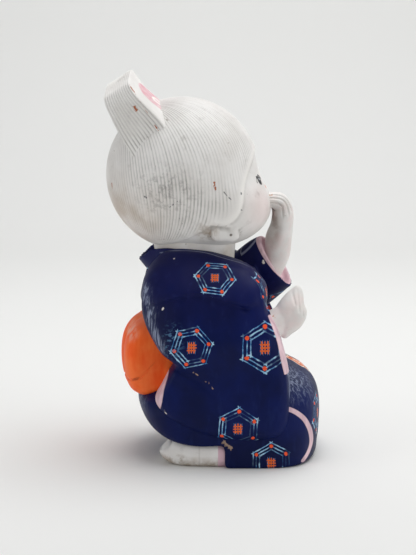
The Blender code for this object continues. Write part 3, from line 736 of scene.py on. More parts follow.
# Hexagons brushed on freehand: centre, the way it faces, its turn in degrees, and its radius.
# The near sleeve carries the first list, and the rest of the kimono the second.
LEFT = (1.0, 0.0, 0.0)
RIGHT = (-1.0, 0.0, 0.0)
SLEEVE_HEXAGONS = (
    ((-30.8, -0.7, 79.7), (-0.79, 0.0, 0.62), -6.5, 7.1), ((-40.4, 9.2, 51.5), RIGHT, 12.0, 7.4),
    ((-39.7, -21.6, 51.4), RIGHT, 30.0, 8.8), ((-40.3, -10.4, 16.7), RIGHT, 26.0, 7.6),
    ((-25.5, -21.5, 73.0), (-0.3, -0.95, 0.0), 10.0, 6.6))
KIMONO_HEXAGONS = (
    ((-37.8, -24.5, 1.3), RIGHT, 30.0, 7.3), ((2.0, -32.4, 60.6), RIGHT, 17.0, 7.4),
    ((30.8, 2.0, 79.7), (0.79, 0.0, 0.62), 8.0, 7.1), ((38.0, -12.0, 57.0), LEFT, 20.0, 7.4),
    ((40.0, 6.0, 32.0), LEFT, -10.0, 7.4), ((40.0, -19.0, 24.0), LEFT, 25.0, 7.4),
    ((-18.0, -46.0, 19.0), (0.0, -1.0, 0.2), 12.0, 7.2), ((17.0, -45.5, 14.0), (0.0, -1.0, 0.2), -8.0, 7.2),
    ((-1.0, 28.0, 72.0), (0.0, 1.0, 0.1), 10.0, 7.0), ((13.0, 29.0, 17.0), (0.1, 1.0, -0.2), 25.0, 7.0))
SLEEVE_BACK_EDGE = ((21.1, 22.3), (23.4, 22.7), (28.0, 21.7), (33.0, 20.9), (38.2, 19.3), (44.3, 17.7))
SLEEVE_FRONT_EDGE = ((40.0, -29.8), (45.0, -28.5), (49.2, -27.7), (53.1, -26.9), (57.4, -25.6), (63.9, -23.0))
HEM_EDGE = ((-30.4, 24.6), (-32.5, 24.1), (-35.6, 22.3), (-38.7, 19.3), (-41.0, 15.0), (-42.1, 10.9),
            (-42.2, 7.1), (-40.8, 3.6), (-38.5, 0.8))
HEM_WIDTH = 1.9
NEAR_COLLAR = ((-12.7, 23.1, 88.1), (-17.4, 16.5, 89.6), (-18.5, 5.7, 89.3), (-19.2, 1.4, 88.5),
               (-20.6, -2.8, 87.4), (-21.3, -7.1, 86.2), (-21.1, -11.4, 84.8), (-20.7, -14.4, 83.5),
               (-18.6, -17.0, 81.9))
BACK_STREAK = ((28.7, 74.8), (28.6, 70.0), (26.4, 66.2), (26.8, 61.9), (24.7, 56.3), (22.0, 50.0))
LAP_FLOWER = ((3.0, -37.4, 36.8), (0.0, -0.5, 0.87), 10.0, 7.4)


def laid_flat(corners, facing_out, centre, facing, degrees, radius):
    """Places around a painted figure in its own plane, in shares of its radius, and its distance."""
    facing = np.asarray(facing) / np.linalg.norm(facing)
    up = np.array((0.0, -1.0, 0.0) if facing[2] > 0.7 else (0.0, 0.0, 1.0))
    up = up - facing * (up @ facing)
    up /= np.linalg.norm(up)
    ahead = np.cross(up, facing)
    offset = (corners - np.asarray(centre)) / radius
    plain = np.stack([offset @ ahead, offset @ up], axis=1)
    turn = math.radians(degrees)
    turned = plain @ np.array(((math.cos(turn), -math.sin(turn)), (math.sin(turn), math.cos(turn))))
    far = np.linalg.norm(plain, axis=1) + np.maximum(np.abs(offset @ facing) * radius - 5.0, 0.0)
    far = far + 3.0 * (facing_out @ facing < 0.25)
    return plain, turned, far


def outward(item):
    """Which way the surface faces at each corner."""
    ways = np.empty(len(item.data.vertices) * 3)
    item.data.vertex_normals.foreach_get("vector", ways)
    return ways.reshape(-1, 3)


def lay_hexagons(item, hexagons):
    """Gives each corner its place in the nearest of the hexagons painted on a piece."""
    corners = corners_in_parts(item)
    facing_out = outward(item)
    nearest = np.full(len(corners), 9.0)
    hexagon = np.zeros((len(corners), 3))
    hash_mark = np.zeros((len(corners), 3))
    for figure in hexagons:
        plain, turned, far = laid_flat(corners, facing_out, *figure)
        closer = far < nearest
        nearest[closer] = far[closer]
        hexagon[closer, :2] = turned[closer]
        hash_mark[closer, :2] = plain[closer]
    hexagon[:, 2] = nearest
    store(item, "hexagon", hexagon)
    store(item, "hash_mark", hash_mark)


def sleeve_lining(x, y, z):
    """How far inside the pink edges of a hanging sleeve a place lies."""
    back = np.asarray(SLEEVE_BACK_EDGE)
    front = np.asarray(SLEEVE_FRONT_EDGE)
    behind = np.min([y - np.interp(z, back[:, 0], back[:, 1]), z - 21.0, 44.5 - z], axis=0)
    before = np.min([np.interp(z, front[:, 0], front[:, 1]) - y, z - 39.5, 64.0 - z], axis=0)
    return np.minimum(np.maximum(behind, before), np.abs(x) - 12.0)


def along_run(points, corners):
    """Distance from each corner to a line in space."""
    line = through(points, len(points) * 6)
    gap = np.full(len(corners), 1e9)
    for start, end in zip(line[:-1], line[1:]):
        run = end - start
        share = np.clip((corners - start) @ run / (run @ run), 0.0, 1.0)
        gap = np.minimum(gap, np.linalg.norm(corners - start - share[:, None] * run, axis=1))
    return gap


corners = corners_in_parts(right_sleeve)
x, y, z = corners.T
lay_hexagons(right_sleeve, SLEEVE_HEXAGONS)
store(right_sleeve, "lining", sleeve_lining(x, y, z))
for name in ("sash", "flower"):
    store(right_sleeve, name, np.full(len(corners), -1.0))
# The neck is bare above 0, and a pale line lies along the collar from -1.5 to -0.9
store(right_sleeve, "bare_neck", -1.2 - 0.7 * along_run(NEAR_COLLAR, corners))
# Its paint is rubbed off along the lower rim, where the pale line also stands as a painted highlight on the
# edge, and in a streak down the back of the arm
rim = np.exp(-((near_line(SLEEVE_OUTLINE[11:22], y, z) - 0.6) / 0.6) ** 2) * (x < -24.0)
streak = np.exp(-(near_line(BACK_STREAK, y, z) / 1.8) ** 2) * (x < -20.0) * 0.9
store(right_sleeve, "wear_and_sheen", np.maximum(rim * 1.5, streak))

corners = corners_in_parts(kimono)
x, y, z = corners.T
lay_hexagons(kimono, KIMONO_HEXAGONS)
# The pink of the raised sleeve: the rim of its mouth, and the hollow inside
offset = corners - np.array(RAISED_MOUTH[:3])
way_out = np.array(RAISED_MOUTH[:3]) - np.array(RAISED_ELBOW[:3])
way_out /= np.linalg.norm(way_out)
sideways = np.array((1.0, 0.0, 0.0)) - way_out * way_out[0]
sideways /= np.linalg.norm(sideways)
before_mouth = offset @ way_out
upward = np.cross(way_out, sideways)
from_axis = np.hypot(offset @ sideways / RAISED_MOUTH[3], offset @ upward / RAISED_MOUTH[4])
hollow = np.minimum((0.93 - from_axis) * 10.0, before_mouth + 4.6)
raised = np.minimum(np.maximum(before_mouth + 0.3, hollow), 16.0 - np.linalg.norm(offset, axis=1))
from_raised_arm = along_run((RAISED_ELBOW[:3], RAISED_MOUTH[:3], (5.8, -32.6, 85.0)), corners) - 14.5
hem = HEM_WIDTH / 2.0 - near_line(HEM_EDGE, y, z)
hem = np.minimum(hem, -12.0 - x)
left_sleeve = np.minimum(sleeve_lining(x, y, z), x - 24.0)
store(kimono, "lining", np.max([raised, hem, left_sleeve], axis=0))
# The neck shows white between the two slanting edges of the collar, clear of the raised arm
far_edge = 1.03 * (z - 74.0) - 7.0 - x
near_edge = 1.45 * (z - 74.0) + 7.0 + x
bare_neck = np.min([far_edge, near_edge, -2.0 - y, from_raised_arm], axis=0)
store(kimono, "bare_neck", np.maximum(bare_neck, -1.2 - 0.7 * along_run(NEAR_COLLAR, corners)))
store(kimono, "sash", np.min([7.0 - np.abs(z - 53.0), -14.0 - y, 20.0 - np.abs(x)], axis=0))
plain, turned, far = laid_flat(corners, outward(kimono), *LAP_FLOWER)
petal = 0.86 + 0.14 * np.cos(5.0 * np.arctan2(turned[:, 1], turned[:, 0]))
store(kimono, "flower", np.where(far < 1.5, petal - np.linalg.norm(turned, axis=1), -1.0))
# Wear and a painted sheen over the near knee, wear down the front of the skirt, and a painted sheen low on
# its back
near_side = ease((-8.0 - x) / 14.0)
knee_wear_and_sheen = np.exp(-((z - 36.0) / 7.0) ** 2) * (y < -30.0) * (0.12 + 0.6 * near_side)
front_wear = np.exp(-((y + 46.5) / 1.6) ** 2) * (0.08 + 0.5 * near_side)
# Painted sheen along the back of the skirt
behind = np.exp(-((y - 32.5) / 2.6) ** 2) * (z < 40.0) * 0.7
store(kimono, "wear_and_sheen", np.max([knee_wear_and_sheen, front_wear, behind], axis=0))

# Dark blue paint with a dull polish, purplish higher up towards the shoulders, brushed with light blue
# strokes and orange dots, rubbed pale on the edges with painted sheen and highlight in places, and chipped to
# the clay
blue_paint, tree, shader = new_material("blue_paint")
metres, place = in_parts(tree)
rough = node(tree, "TexNoise", {"Vector": metres, "Scale": 1000.0 / 1.11, "Detail": 3.0, "Roughness": 0.55})
long_strokes = node(tree, "VectorMath", (metres, (1.0, 1.0, 0.3)), operation="MULTIPLY")
brush_marks = {"Vector": long_strokes, "Scale": 1000.0 / 3.85, "Detail": 5.0, "Roughness": 0.6}
strokes = node(tree, "TexNoise", brush_marks)
cloudy = patches(tree, metres, 26.3, 0.34, 0.68, detail=4.0)
base = coat(tree, shade("#020D3A"), shade("#051550"), cloudy)
height = node(tree, "SeparateXYZ", (place,), 2)
high_up = node(tree, "MapRange", (height, 55.0, 82.0))
purplish_high_up = overlap(tree, [high_up, node(tree, "MapRange", (strokes, 0.35, 0.7, 0.4, 1.0))])
base = coat(tree, base, shade("#14154A"), purplish_high_up)
base = coat(tree, base, shade("#1B2A5E"), node(tree, "MapRange", (strokes, 0.56, 0.78, 0.0, 0.5)))

# The hexagons: three brushed lines along each side, running past the corners here and there.
# In shares of its radius, a side lies SIDE_REACH from the centre, its lines ROW_GAP apart.
ROW_GAP = 0.185
SIDE_REACH = 0.866
flat = node(tree, "Attribute", (), "Vector", attribute_name="hexagon")
from_centre = node(tree, "SeparateXYZ", (flat,), 2)
wobble = node(tree, "TexNoise", {"Vector": metres, "Scale": 1000.0 / 6.67, "Detail": 1.0}, "Color")
wobble = node(tree, "VectorMath", (wobble, (0.1, 0.1, 0.0), (-0.05, -0.05, 0.0)), operation="MULTIPLY_ADD")
flat = node(tree, "VectorMath", (flat, wobble), operation="ADD")
shown = node(tree, "MapRange", (from_centre, 1.42, 1.32))
breaks = node(tree, "TexNoise", {"Vector": metres, "Scale": 1000.0 / 3.03, "Detail": 3.0, "Roughness": 0.55})


def aside(tree, place, way):
    """How far a place lies from the middle, either way along a direction."""
    along = node(tree, "VectorMath", (place, way), "Value", operation="DOT_PRODUCT")
    return node(tree, "Math", (along,), operation="ABSOLUTE")


def from_row(tree, rows):
    """How far a place lies from the middle of its row, when each row is one wide."""
    part = node(tree, "Math", (rows,), operation="FRACT")
    part = node(tree, "Math", (part, 0.5), operation="SUBTRACT")
    return node(tree, "Math", (part,), operation="ABSOLUTE")


lines = []
dots = []
for degrees in (0.0, 60.0, 120.0):
    corner_way = math.radians(degrees)
    side_way = corner_way + math.radians(30.0)
    out = (math.cos(side_way), math.sin(side_way), 0.0)
    along = (-math.sin(side_way), math.cos(side_way), 0.0)
    distance = aside(tree, flat, out)
    run = aside(tree, flat, along)
    rows = node(tree, "Math", (distance, 1.0 / ROW_GAP, 0.5 - SIDE_REACH / ROW_GAP), operation="MULTIPLY_ADD")
    brushed = node(tree, "Math", (breaks, -0.4, from_row(tree, rows)), operation="MULTIPLY_ADD")
    brushed = node(tree, "MapRange", (brushed, 0.0, -0.08))
    from_middle_row = node(tree, "Math", (rows, 0.5), operation="SUBTRACT")
    from_middle_row = node(tree, "Math", (from_middle_row,), operation="ABSOLUTE")
    in_row = node(tree, "MapRange", (from_middle_row, 1.5, 1.45))
    past_corner = node(tree, "Math", (breaks, -0.26, run), operation="MULTIPLY_ADD")
    past_corner = node(tree, "Math", (distance, -0.5 / SIDE_REACH, past_corner), operation="MULTIPLY_ADD")
    ended = node(tree, "MapRange", (past_corner, -0.02, -0.07))
    lines.append(overlap(tree, [brushed, in_row, ended]))
    corner = (math.cos(corner_way), math.sin(corner_way), 0.0)
    sideways = (-math.sin(corner_way), math.cos(corner_way), 0.0)
    reach = node(tree, "Math", (aside(tree, flat, corner), 1.0), operation="SUBTRACT")
    beside = node(tree, "VectorMath", (flat, sideways), "Value", operation="DOT_PRODUCT")
    from_corner = node(tree, "CombineXYZ", (reach, beside))
    from_corner = node(tree, "VectorMath", (from_corner,), "Value", operation="LENGTH")
    from_corner = node(tree, "Math", (rough, 0.09, from_corner), operation="MULTIPLY_ADD")
    dots.append(node(tree, "MapRange", (from_corner, 0.16, 0.14)))
rubbed_out = patches(tree, metres, 7.4, 0.4, 0.53, detail=2.0, least=0.12)
blue_lines = overlap(tree, [strongest(tree, lines), shown, rubbed_out])
stroke_colour = coat(tree, shade("#3F7FB8"), shade("#A9D2EA"), node(tree, "MapRange", (breaks, 0.38, 0.62)))
base = coat(tree, base, stroke_colour, blue_lines)

# The hash at the centre: crossed orange strokes between thin blue ones
mark = node(tree, "Attribute", (), "Vector", attribute_name="hash_mark")
mark = node(tree, "VectorMath", (mark, wobble), operation="ADD")
mark_ahead, mark_up = [node(tree, "SeparateXYZ", (mark,), axis) for axis in (0, 1)]


def hash_strokes(ahead, up, spacing, width, count, length):
    """Parallel strokes across one way of the mark, with ragged ends."""
    row = node(tree, "Math", (ahead, 1.0 / spacing, 0.5), operation="MULTIPLY_ADD")
    off = node(tree, "Math", (breaks, -0.3, from_row(tree, row)), operation="MULTIPLY_ADD")
    off = node(tree, "MapRange", (off, width / spacing - 0.1, width / spacing - 0.18))
    within = node(tree, "Math", (ahead,), operation="ABSOLUTE")
    within = node(tree, "MapRange", (within, (count + 0.5) * spacing, (count + 0.45) * spacing))
    ends = node(tree, "Math", (up,), operation="ABSOLUTE")
    ends = node(tree, "Math", (breaks, 0.3, ends), operation="MULTIPLY_ADD")
    ends = node(tree, "MapRange", (ends, length + 0.15, length + 0.12))
    return overlap(tree, [off, within, ends])


upright = hash_strokes(mark_ahead, mark_up, 0.15, 0.035, 1, 0.3)
level = hash_strokes(mark_up, mark_ahead, 0.15, 0.04, 1, 0.25)
thin_blue = hash_strokes(mark_ahead, mark_up, 0.11, 0.01, 2, 0.36)
base = coat(tree, base, shade("#5E93BE"), overlap(tree, [thin_blue, shown]), 0.75)
orange_strokes = overlap(tree, [strongest(tree, [upright, level]), shown])
base = coat(tree, base, shade("#E0662F"), orange_strokes)
base = coat(tree, base, shade("#F25A33"), overlap(tree, [strongest(tree, dots), shown]))

# Dry light blue brushed over the elbow, then the rubbed edges with their painted sheen and highlight, and the
# scuffs
dry_brush = node(tree, "VectorMath", (metres, (1.0, 0.35, 1.0)), operation="MULTIPLY")
dry_brush = patches(tree, dry_brush, 1.25, 0.5, 0.62, roughness=0.6)
scumble = spot(tree, place, (-38.3, 17.0, 53.5), (6.0, 3.6, 6.5), 0.7)
base = coat(tree, base, shade("#5C88AE"), overlap(tree, [scumble, dry_brush]), 0.6)
scuffs = node(tree, "VectorMath", (metres, (1.0, 1.0, 0.13)), operation="MULTIPLY")
scuffs = patches(tree, scuffs, 1.053, 0.48, 0.6, detail=4.0, roughness=0.6, least=0.12, most=0.87)
# Pale blue-grey where paint is rubbed, and painted sheen and highlight on the lap, the back of the skirt and
# the near sleeve's lower rim
wear_and_sheen = overlap(tree, [node(tree, "Attribute", (), "Fac", attribute_name="wear_and_sheen"), scuffs])
base = coat(tree, base, shade("#A3AEC8"), wear_and_sheen)
specks = (
    ((-33.7, 21.2, 67.2), (-33.7, 21.4, 66.6), 0.5), ((-22.5, 16.8, 86.9), (-22.4, 16.6, 86.4), 0.45),
    ((-19.0, -44.9, 10.8), (-19.0, -44.8, 9.6), 0.5), ((-37.5, 20.3, 24.4), (-37.6, 20.2, 22.9), 0.7),
    ((-0.2, -22.0, 83.0), (-0.2, -22.2, 82.0), 0.6), ((-38.6, 12.0, 31.0), (-38.6, 12.3, 30.6), 0.35))
base = coat(tree, base, shade("#E3DCD6"), marks(tree, place, rough, specks))
chips = (
    ((-39.8, 8.4, 40.6), (-39.7, 6.4, 39.6), 0.45), ((-39.8, 3.0, 37.0), (-39.8, 1.8, 36.3), 0.6),
    ((-39.8, 0.8, 34.6), (-39.8, 0.2, 33.8), 0.5), ((-37.9, -4.2, 10.4), (-37.9, -7.2, 8.0), 1.1),
    ((-38.0, 14.2, 42.6), (-38.4, 12.4, 41.4), 0.35))
base = coat(tree, base, shade("#A58B78"), marks(tree, place, rough, chips), 0.85)

# Orange sash in front, white at the neck, pink linings and piping, and the flower on the lap
white = coat(tree, shade("#EDE8E2"), shade("#D6CFC8"), node(tree, "MapRange", (strokes, 0.4, 0.7)))
pink = coat(tree, shade("#EBCDD4"), shade("#C9A9B3"), node(tree, "MapRange", (strokes, 0.36, 0.66)))
sash = node(tree, "Attribute", (), "Fac", attribute_name="sash")
base = coat(tree, base, shade("#E4561F"), node(tree, "MapRange", (sash, -0.12, 0.12)))
collar = node(tree, "Attribute", (), "Fac", attribute_name="bare_neck")
collar_line = overlap(tree, [node(tree, "MapRange", (collar, -1.5, -1.3)),
                             node(tree, "MapRange", (collar, -0.9, -1.1))])
base = coat(tree, base, shade("#9FA6C0"), collar_line, 0.7)
base = coat(tree, base, white, node(tree, "MapRange", (collar, -0.12, 0.12)))
lining = node(tree, "Attribute", (), "Fac", attribute_name="lining")
base = coat(tree, base, pink, node(tree, "MapRange", (lining, -0.12, 0.12)))
flower = node(tree, "Attribute", (), "Fac", attribute_name="flower")
base = coat(tree, base, shade("#EFDCC8"), node(tree, "MapRange", (flower, 0.0, 0.03)))
base = coat(tree, base, shade("#DE6A3C"), node(tree, "MapRange", (flower, 0.15, 0.19)))
base = coat(tree, base, shade("#EFDCC8"), node(tree, "MapRange", (flower, 0.52, 0.56)))
base = coat(tree, base, shade("#DE6A3C"), node(tree, "MapRange", (flower, 0.68, 0.72)))
tree.links.new(base, shader.inputs["Base Color"])
tree.links.new(node(tree, "MapRange", (strokes, 0.3, 0.75, 0.42, 0.6)), shader.inputs["Roughness"])
shader.inputs["IOR"].default_value = 1.48
shader.inputs["Specular IOR Level"].default_value = 0.14
raised_paint = node(tree, "Math", (blue_lines, 0.857, strokes), operation="MULTIPLY_ADD")
bump = node(tree, "Bump", {"Height": raised_paint, "Strength": 0.4, "Distance": 0.00021})
tree.links.new(bump, shader.inputs["Normal"])
for item in (right_sleeve, kimono):
    item.data.materials.append(blue_paint)
    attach(item, "root")
    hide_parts("doll")


# The neck
# Bare skin between the collar and the head. It is clay under the same shell-white paint, cast
# in one with both.

stations = ((0.0, 8.0, 76.0, 16.0, 17.0), (0.0, 8.0, 86.0, 15.8, 17.4), (0.0, 8.2, 91.5, 16.5, 18.0),
            (0.0, 9.0, 99.0, 18.0, 18.0))
neck = closed_skin("neck", swept(stations, 30, 120))
store(neck, "groove", np.zeros(len(neck.data.vertices)))
neck_paint, tree, shader, metres, place, base = shell_white("shell_white_neck")
# Painted shade from the head above, with settled dust: warmer and duller in patches
shaded = patches(tree, metres, 11.1, 0.3, 0.7, detail=4.0)
base = coat(tree, base, shade("#CFC6BB"), shaded, 0.6)
tree.links.new(base, shader.inputs["Base Color"])
neck.data.materials.append(neck_paint)
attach(neck, "root")
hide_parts("doll")


# The sash bow
# A folded pad of cloth across the back, made in clay: cast with the body, with one fold
# pressed in, and painted orange.

BOW_WIDTH = 0.050
outline = even_outline(
    ((30.4, 60.4), (35.4, 57.0), (38.6, 51.4), (39.7, 44.0), (39.2, 35.8), (37.0, 28.8), (32.2, 25.4),
     (26.5, 25.0), (20.0, 28.5), (12.0, 33.0), (12.0, 57.0), (22.0, 62.5)), 300)
half = BOW_WIDTH / PART / 2.0
centre = np.array((22.0, 44.0))
FOLD_HEIGHT = 33.2
FOLD_BACK = 38.5
rings = []
folds = []
for turn in np.radians(np.linspace(-85.0, 85.0, 90)):
    share = math.cos(turn) ** 0.22
    across = half * math.sin(turn)
    knot = 1.1 * math.exp(-(across / 5.0) ** 2) - 0.8 * math.exp(-((abs(across) - 8.0) / 2.2) ** 2)
    flat = centre + (outline - centre) * share
    flat[:, 0] += knot * ease((outline[:, 0] - 28.0) / 4.0)
    from_fold = flat[:, 1] - FOLD_HEIGHT - 0.32 * (FOLD_BACK - flat[:, 0])
    fold = np.exp(-(from_fold / 0.55) ** 2) * ease((flat[:, 0] - 22.0) / 6.0)
    flat[:, 0] -= 0.5 * fold
    folds.append(fold)
    rings.append(np.column_stack([across * (1.0 - 0.03 * fold), flat]))
bow = closed_skin("sash_bow", rings)
store(bow, "fold", np.concatenate(folds + [ends]))
# Orange paint brushed up and down, rubbed pale on the upper edge, with painted shade in the fold
orange_paint, tree, shader = new_material("orange_paint")
metres, place = in_parts(tree)
rough = node(tree, "TexNoise", {"Vector": metres, "Scale": 1000.0 / 1.11, "Detail": 3.0, "Roughness": 0.55})
long_strokes = node(tree, "VectorMath", (metres, (1.0, 1.0, 0.25)), operation="MULTIPLY")
brush_marks = {"Vector": long_strokes, "Scale": 1000.0 / 3.33, "Detail": 4.0, "Roughness": 0.6}
strokes = node(tree, "TexNoise", brush_marks)
base = coat(tree, shade("#F6540F"), shade("#FF7430"), node(tree, "MapRange", (strokes, 0.32, 0.7)))
base = coat(tree, base, shade("#FF8244"), patches(tree, metres, 16.7, 0.45, 0.7, most=0.6))
height = node(tree, "SeparateXYZ", (place,), 2)
base = coat(tree, base, shade("#F58A5C"), node(tree, "MapRange", (height, 52.0, 60.0)), 0.4)
rub_and_highlight = spot(tree, place, (-16.0, 36.0, 54.6), (14.0, 3.4, 3.6), 0.6)
rub_and_highlight = overlap(tree, [rub_and_highlight, node(tree, "MapRange", (strokes, 0.42, 0.6))])
base = coat(tree, base, shade("#E9C4B4"), rub_and_highlight, 0.6)
fold = node(tree, "Attribute", (), "Fac", attribute_name="fold")
# Painted shade darkens the pressed fold
fold_shade = overlap(tree, [fold, patches(tree, metres, 3.33, 0.4, 0.62, detail=4.0)])
base = coat(tree, base, shade("#8A3A22"), fold_shade, 0.75)
nicks = (((-25.0, 27.4, 33.0), (-25.0, 27.0, 32.6), 0.4), ((-24.6, 29.0, 30.0), (-24.6, 28.4, 29.6), 0.4))
base = coat(tree, base, shade("#7A3020"), marks(tree, place, rough, nicks))
tree.links.new(base, shader.inputs["Base Color"])
tree.links.new(node(tree, "MapRange", (strokes, 0.3, 0.7, 0.5, 0.64)), shader.inputs["Roughness"])
shader.inputs["IOR"].default_value = 1.48
shader.inputs["Specular IOR Level"].default_value = 0.2
bump = node(tree, "Bump", {"Height": strokes, "Strength": 0.35, "Distance": 0.0003})
tree.links.new(bump, shader.inputs["Normal"])
bow.data.materials.append(orange_paint)
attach(bow, "root")
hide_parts("doll")


# The hands
# Clay, cast with the sleeves they come out of and whitened like the head. The fingers are cut
# as shallow grooves.

RIGHT_HAND_OUTLINE = (
    (-24.8, 62.4), (-27.7, 67.2), (-30.9, 71.2), (-34.1, 74.0), (-36.0, 75.2), (-37.8, 74.0), (-38.7, 71.0),
    (-39.0, 67.4), (-40.1, 64.2), (-39.6, 61.0), (-37.4, 57.2), (-34.0, 54.6), (-30.2, 52.4), (-27.0, 57.0))
FINGER_LINES = (((-33.6, 73.2), (-34.9, 67.6)), ((-35.9, 73.6), (-36.7, 64.5)),
                ((-37.7, 72.0), (-38.3, 62.6)))


def right_hand_form():
    """A cupped hand seen edge on, its fingers told apart by short grooves."""
    outline = even_outline(RIGHT_HAND_OUTLINE, 200)
    centre = np.array((-33.5, 64.0))
    rings = []
    for turn in np.radians(np.linspace(-87.0, 87.0, 90)):
        flat = centre + (outline - centre) * math.cos(turn) ** 0.55
        cut = np.zeros(len(flat))
        for line in FINGER_LINES:
            cut = np.maximum(cut, np.exp(-(near_line(line, flat[:, 0], flat[:, 1]) / 0.4) ** 2))
        thick = (4.9 - 2.2 * ease((flat[:, 1] - 66.0) / 9.0)) * (1.0 - 0.13 * cut)
        middle = -22.6 + 2.4 * ease((flat[:, 1] - 60.0) / 14.0)
        rings.append(np.column_stack([middle + thick * math.sin(turn), flat]))
    stations = ((-24.0, -15.0, 54.8, 4.6, 5.5), (-24.0, -24.0, 58.0, 4.8, 6.2),
                (-23.0, -31.0, 61.8, 3.9, 5.6))
    wrist = swept(stations, 30, 60)
    return run_together("right_hand", [closed_skin("palm", rings), closed_skin("wrist", wrist)], 0.00036, 2)


def left_hand_form():
    stations = ((8.0, -25.0, 77.0, 5.0, 5.4), (7.0, -28.4, 85.0, 5.2, 5.6), (5.8, -29.0, 92.0, 5.8, 5.9),
                (4.4, -30.4, 98.6, 7.0, 5.0), (2.6, -30.7, 104.6, 7.8, 4.7), (1.0, -29.0, 108.8, 7.6, 4.2),
                (0.0, -25.4, 109.9, 6.4, 3.4), (0.0, -22.0, 109.0, 4.6, 2.6))
    rings = swept(stations, 160, 140)
    along = np.linspace(0.0, 1.0, 160)[:, None]
    turn = np.linspace(0.0, 20.0, 140, endpoint=False)[None]
    near = np.min([np.abs(turn - cut) for cut in (9.5, 11.5, 13.0, 15.0, 17.0)], axis=0) / 0.32
    cut = np.exp(-near ** 2) * ease((along - 0.56) / 0.1) * 0.17
    middle = rings.mean(axis=1)[:, None]
    return closed_skin("left_hand", rings + (middle - rings) * cut[..., None])


hand_paint, tree, shader, metres, place, base = shell_white("shell_white_hands")
rough = node(tree, "TexNoise", {"Vector": metres, "Scale": 1000.0 / 1.11, "Detail": 3.0, "Roughness": 0.55})
# Painted shade in the hollow of the raised hand's palm, in uneven patches
hollow = spot(tree, place, (-2.4, -26.0, 97.0), (6.0, 3.4, 8.0), 0.6)
hollow = overlap(tree, [hollow, patches(tree, metres, 6.25, 0.3, 0.62, detail=4.0, least=0.3, most=0.85)])
base = coat(tree, base, shade("#8E7D70"), hollow)
faint = patches(tree, metres, 12.5, 0.45, 0.62, most=0.35)
base = coat(tree, base, shade("#EBD2CE"), faint)
chips = (
    ((-3.0, -24.0, 112.4), (-1.0, -27.6, 111.8), 0.8), ((-4.4, -33.6, 98.4), (-4.4, -33.9, 96.4), 0.9),
    ((-25.6, -33.6, 70.4), (-26.2, -31.8, 69.0), 1.0), ((-22.4, -35.6, 75.4), (-22.4, -36.6, 75.4), 0.6),
    ((-27.0, -25.6, 62.8), (-27.0, -26.0, 62.2), 0.6))
base = coat(tree, base, shade("#D09A78"), marks(tree, place, rough, chips), 0.85)
scratches = (
    ((-27.4, -31.9, 68.2), (-27.4, -31.7, 65.4), 0.3), ((-27.4, -31.7, 65.4), (-27.4, -31.0, 64.2), 0.3))
base = coat(tree, base, SOOT, marks(tree, place, rough, scratches), 0.9)
tree.links.new(base, shader.inputs["Base Color"])
for item in (right_hand_form(), left_hand_form()):
    store(item, "groove", np.zeros(len(item.data.vertices)))
    item.data.materials.append(hand_paint)
    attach(item, "root")
    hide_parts("doll")


# The feet
# Split-toed socks, soles turned back under the skirt, in clay cast with it. They are whitened
# like the head, and each ends in a pink band.

FOOT_SPACING = 0.046
sock_paint, tree, shader, metres, place, base = shell_white("shell_white_socks")
# The band ends the sock, and the floor has rubbed brown into its lower edge
back_of = node(tree, "SeparateXYZ", (place,), 1)
height = node(tree, "SeparateXYZ", (place,), 2)
grime = node(tree, "TexNoise", {"Vector": metres, "Scale": 1000.0 / 7.14, "Detail": 5.0, "Roughness": 0.65})
low = overlap(tree, [node(tree, "MapRange", (height, 4.0, -0.2)), node(tree, "MapRange", (grime, 0.36, 0.6))])
base = coat(tree, base, shade("#937C60"), low, 0.9)
stain = spot(tree, place, (-34.0, 15.5, 2.6), (8.0, 3.4, 1.6), 0.7)
stain = overlap(tree, [stain, node(tree, "MapRange", (grime, 0.38, 0.54))])
base = coat(tree, base, shade("#86735A"), stain, 0.85)
SEAM_PLACE = 6.0
BAND_PLACE = -1.85
seam = node(tree, "Math", (back_of, SEAM_PLACE), operation="SUBTRACT")
seam = node(tree, "Math", (seam,), operation="ABSOLUTE")
base = coat(tree, base, shade("#A9A29A"), node(tree, "MapRange", (seam, 0.5, 0.2)), 0.25)
base = coat(tree, base, shade("#DDB9C4"), node(tree, "MapRange", (back_of, BAND_PLACE, BAND_PLACE - 0.25)))
tree.links.new(base, shader.inputs["Base Color"])
for name, side in (("right_foot", -1.0), ("left_foot", 1.0)):
    across = side * FOOT_SPACING / PART / 2.0
    stations = ((across, 20.2, 6.2, 5.0, 3.2), (across, 19.0, 5.2, 9.0, 5.6),
                (across, 15.0, 4.3, 12.6, 6.4), (across, 8.0, 4.0, 13.8, 6.8),
                (across, -4.0, 3.8, 14.2, 6.8), (across, -12.0, 3.8, 12.0, 6.4))
    foot = closed_skin(name, swept(stations, 60, 100, power=2.6))
    store(foot, "groove", np.zeros(len(foot.data.vertices)))
    foot.data.materials.append(sock_paint)
    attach(foot, "root")
    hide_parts("doll")


# The studio
# A pale paper sheet runs from the table up behind the doll in one sweep. Large soft lamps
# light it from above, in front and behind.

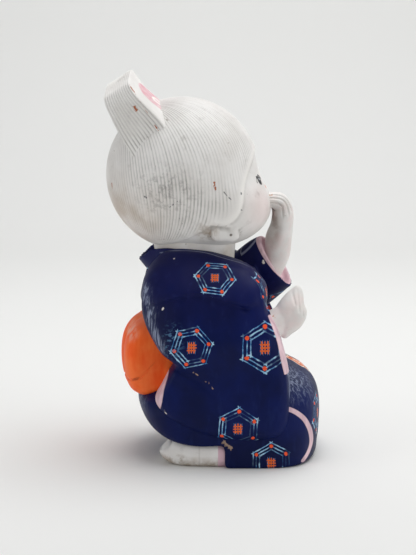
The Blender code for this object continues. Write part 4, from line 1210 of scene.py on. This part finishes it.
BEND_START = 0.72
BEND_RADIUS = 0.22
SHEET_BACK = BEND_START + BEND_RADIUS
bend = [(BEND_START + BEND_RADIUS * math.sin(turn), BEND_RADIUS * (1.0 - math.cos(turn)))
        for turn in np.linspace(0.1, math.pi / 2.0, 14)]
run = np.concatenate([np.linspace((-1.4, 0.0), (BEND_START, 0.0), 12), bend,
                      np.linspace((SHEET_BACK, 0.3), (SHEET_BACK, 1.6), 6)])
sheet_mesh = bpy.data.meshes.new("backdrop")
corners = [(x, y, z) for x, z in run for y in (-2.0, 2.0)]
faces = [(2 * row, 2 * row + 1, 2 * row + 3, 2 * row + 2) for row in range(len(run) - 1)]
sheet_mesh.from_pydata(corners, [], faces)
sheet_mesh.shade_smooth()
backdrop = bpy.data.objects.new("backdrop", sheet_mesh)
bpy.context.scene.collection.objects.link(backdrop)
paper, tree, shader = new_material("backdrop_paper")
shader.inputs["Base Color"].default_value = shade("#EDEDEB")
shader.inputs["Roughness"].default_value = 0.9
backdrop.data.materials.append(paper)
backdrop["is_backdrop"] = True

world = bpy.data.worlds.new("studio")
bpy.context.scene.world = world
world.use_nodes = True
world.node_tree.nodes["Background"].inputs["Color"].default_value = shade("#FBFCFF")
world.node_tree.nodes["Background"].inputs["Strength"].default_value = 0.33
bpy.context.scene.view_settings.view_transform = "Standard"


def soft_lamp(name, place, aim, size, power):
    lamp = bpy.data.lights.new(name, "AREA")
    lamp.shape = "DISK"
    lamp.size = size
    lamp.energy = power
    item = bpy.data.objects.new(name, lamp)
    item.location = place
    item.rotation_euler = (Vector(place) - Vector(aim)).to_track_quat("Z", "Y").to_euler()
    bpy.context.scene.collection.objects.link(item)


soft_lamp("top", (0.08, -0.2, 0.95), (0.0, 0.0, 0.08), 0.9, 5.3)
soft_lamp("front", (-0.5, -0.75, 0.22), (0.0, 0.0, 0.08), 0.6, 1.6)
soft_lamp("back", (-0.35, 0.8, 0.2), (0.0, 0.0, 0.05), 0.6, 1.5)
soft_lamp("backdrop", (0.3, 0.0, 1.1), (0.9, 0.0, 0.35), 0.8, 3.0)

camera_data = bpy.data.cameras.new("camera")
camera = bpy.data.objects.new("camera", camera_data)
bpy.context.scene.collection.objects.link(camera)
bpy.context.scene.camera = camera
# The camera looks at the doll's right side from slightly above, and its picture holds so many
# rows, each so many parts high at the doll
ELEVATION = math.radians(8.0)
CAMERA_REACH = 680.0
PICTURE_ROWS = 555.0
ROW_HEIGHT = 0.4424
back = Vector((-math.cos(ELEVATION), 0.0, math.sin(ELEVATION)))
target = Vector((0.0, 2.3, 75.6 - UNDERSIDE)) * PART
camera.location = target + back * CAMERA_REACH * PART
camera.rotation_euler = back.to_track_quat("Z", "Y").to_euler()
camera_data.sensor_fit = "VERTICAL"
camera_data.angle = 2.0 * math.atan(PICTURE_ROWS * ROW_HEIGHT / 2.0 / CAMERA_REACH)

low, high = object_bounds()
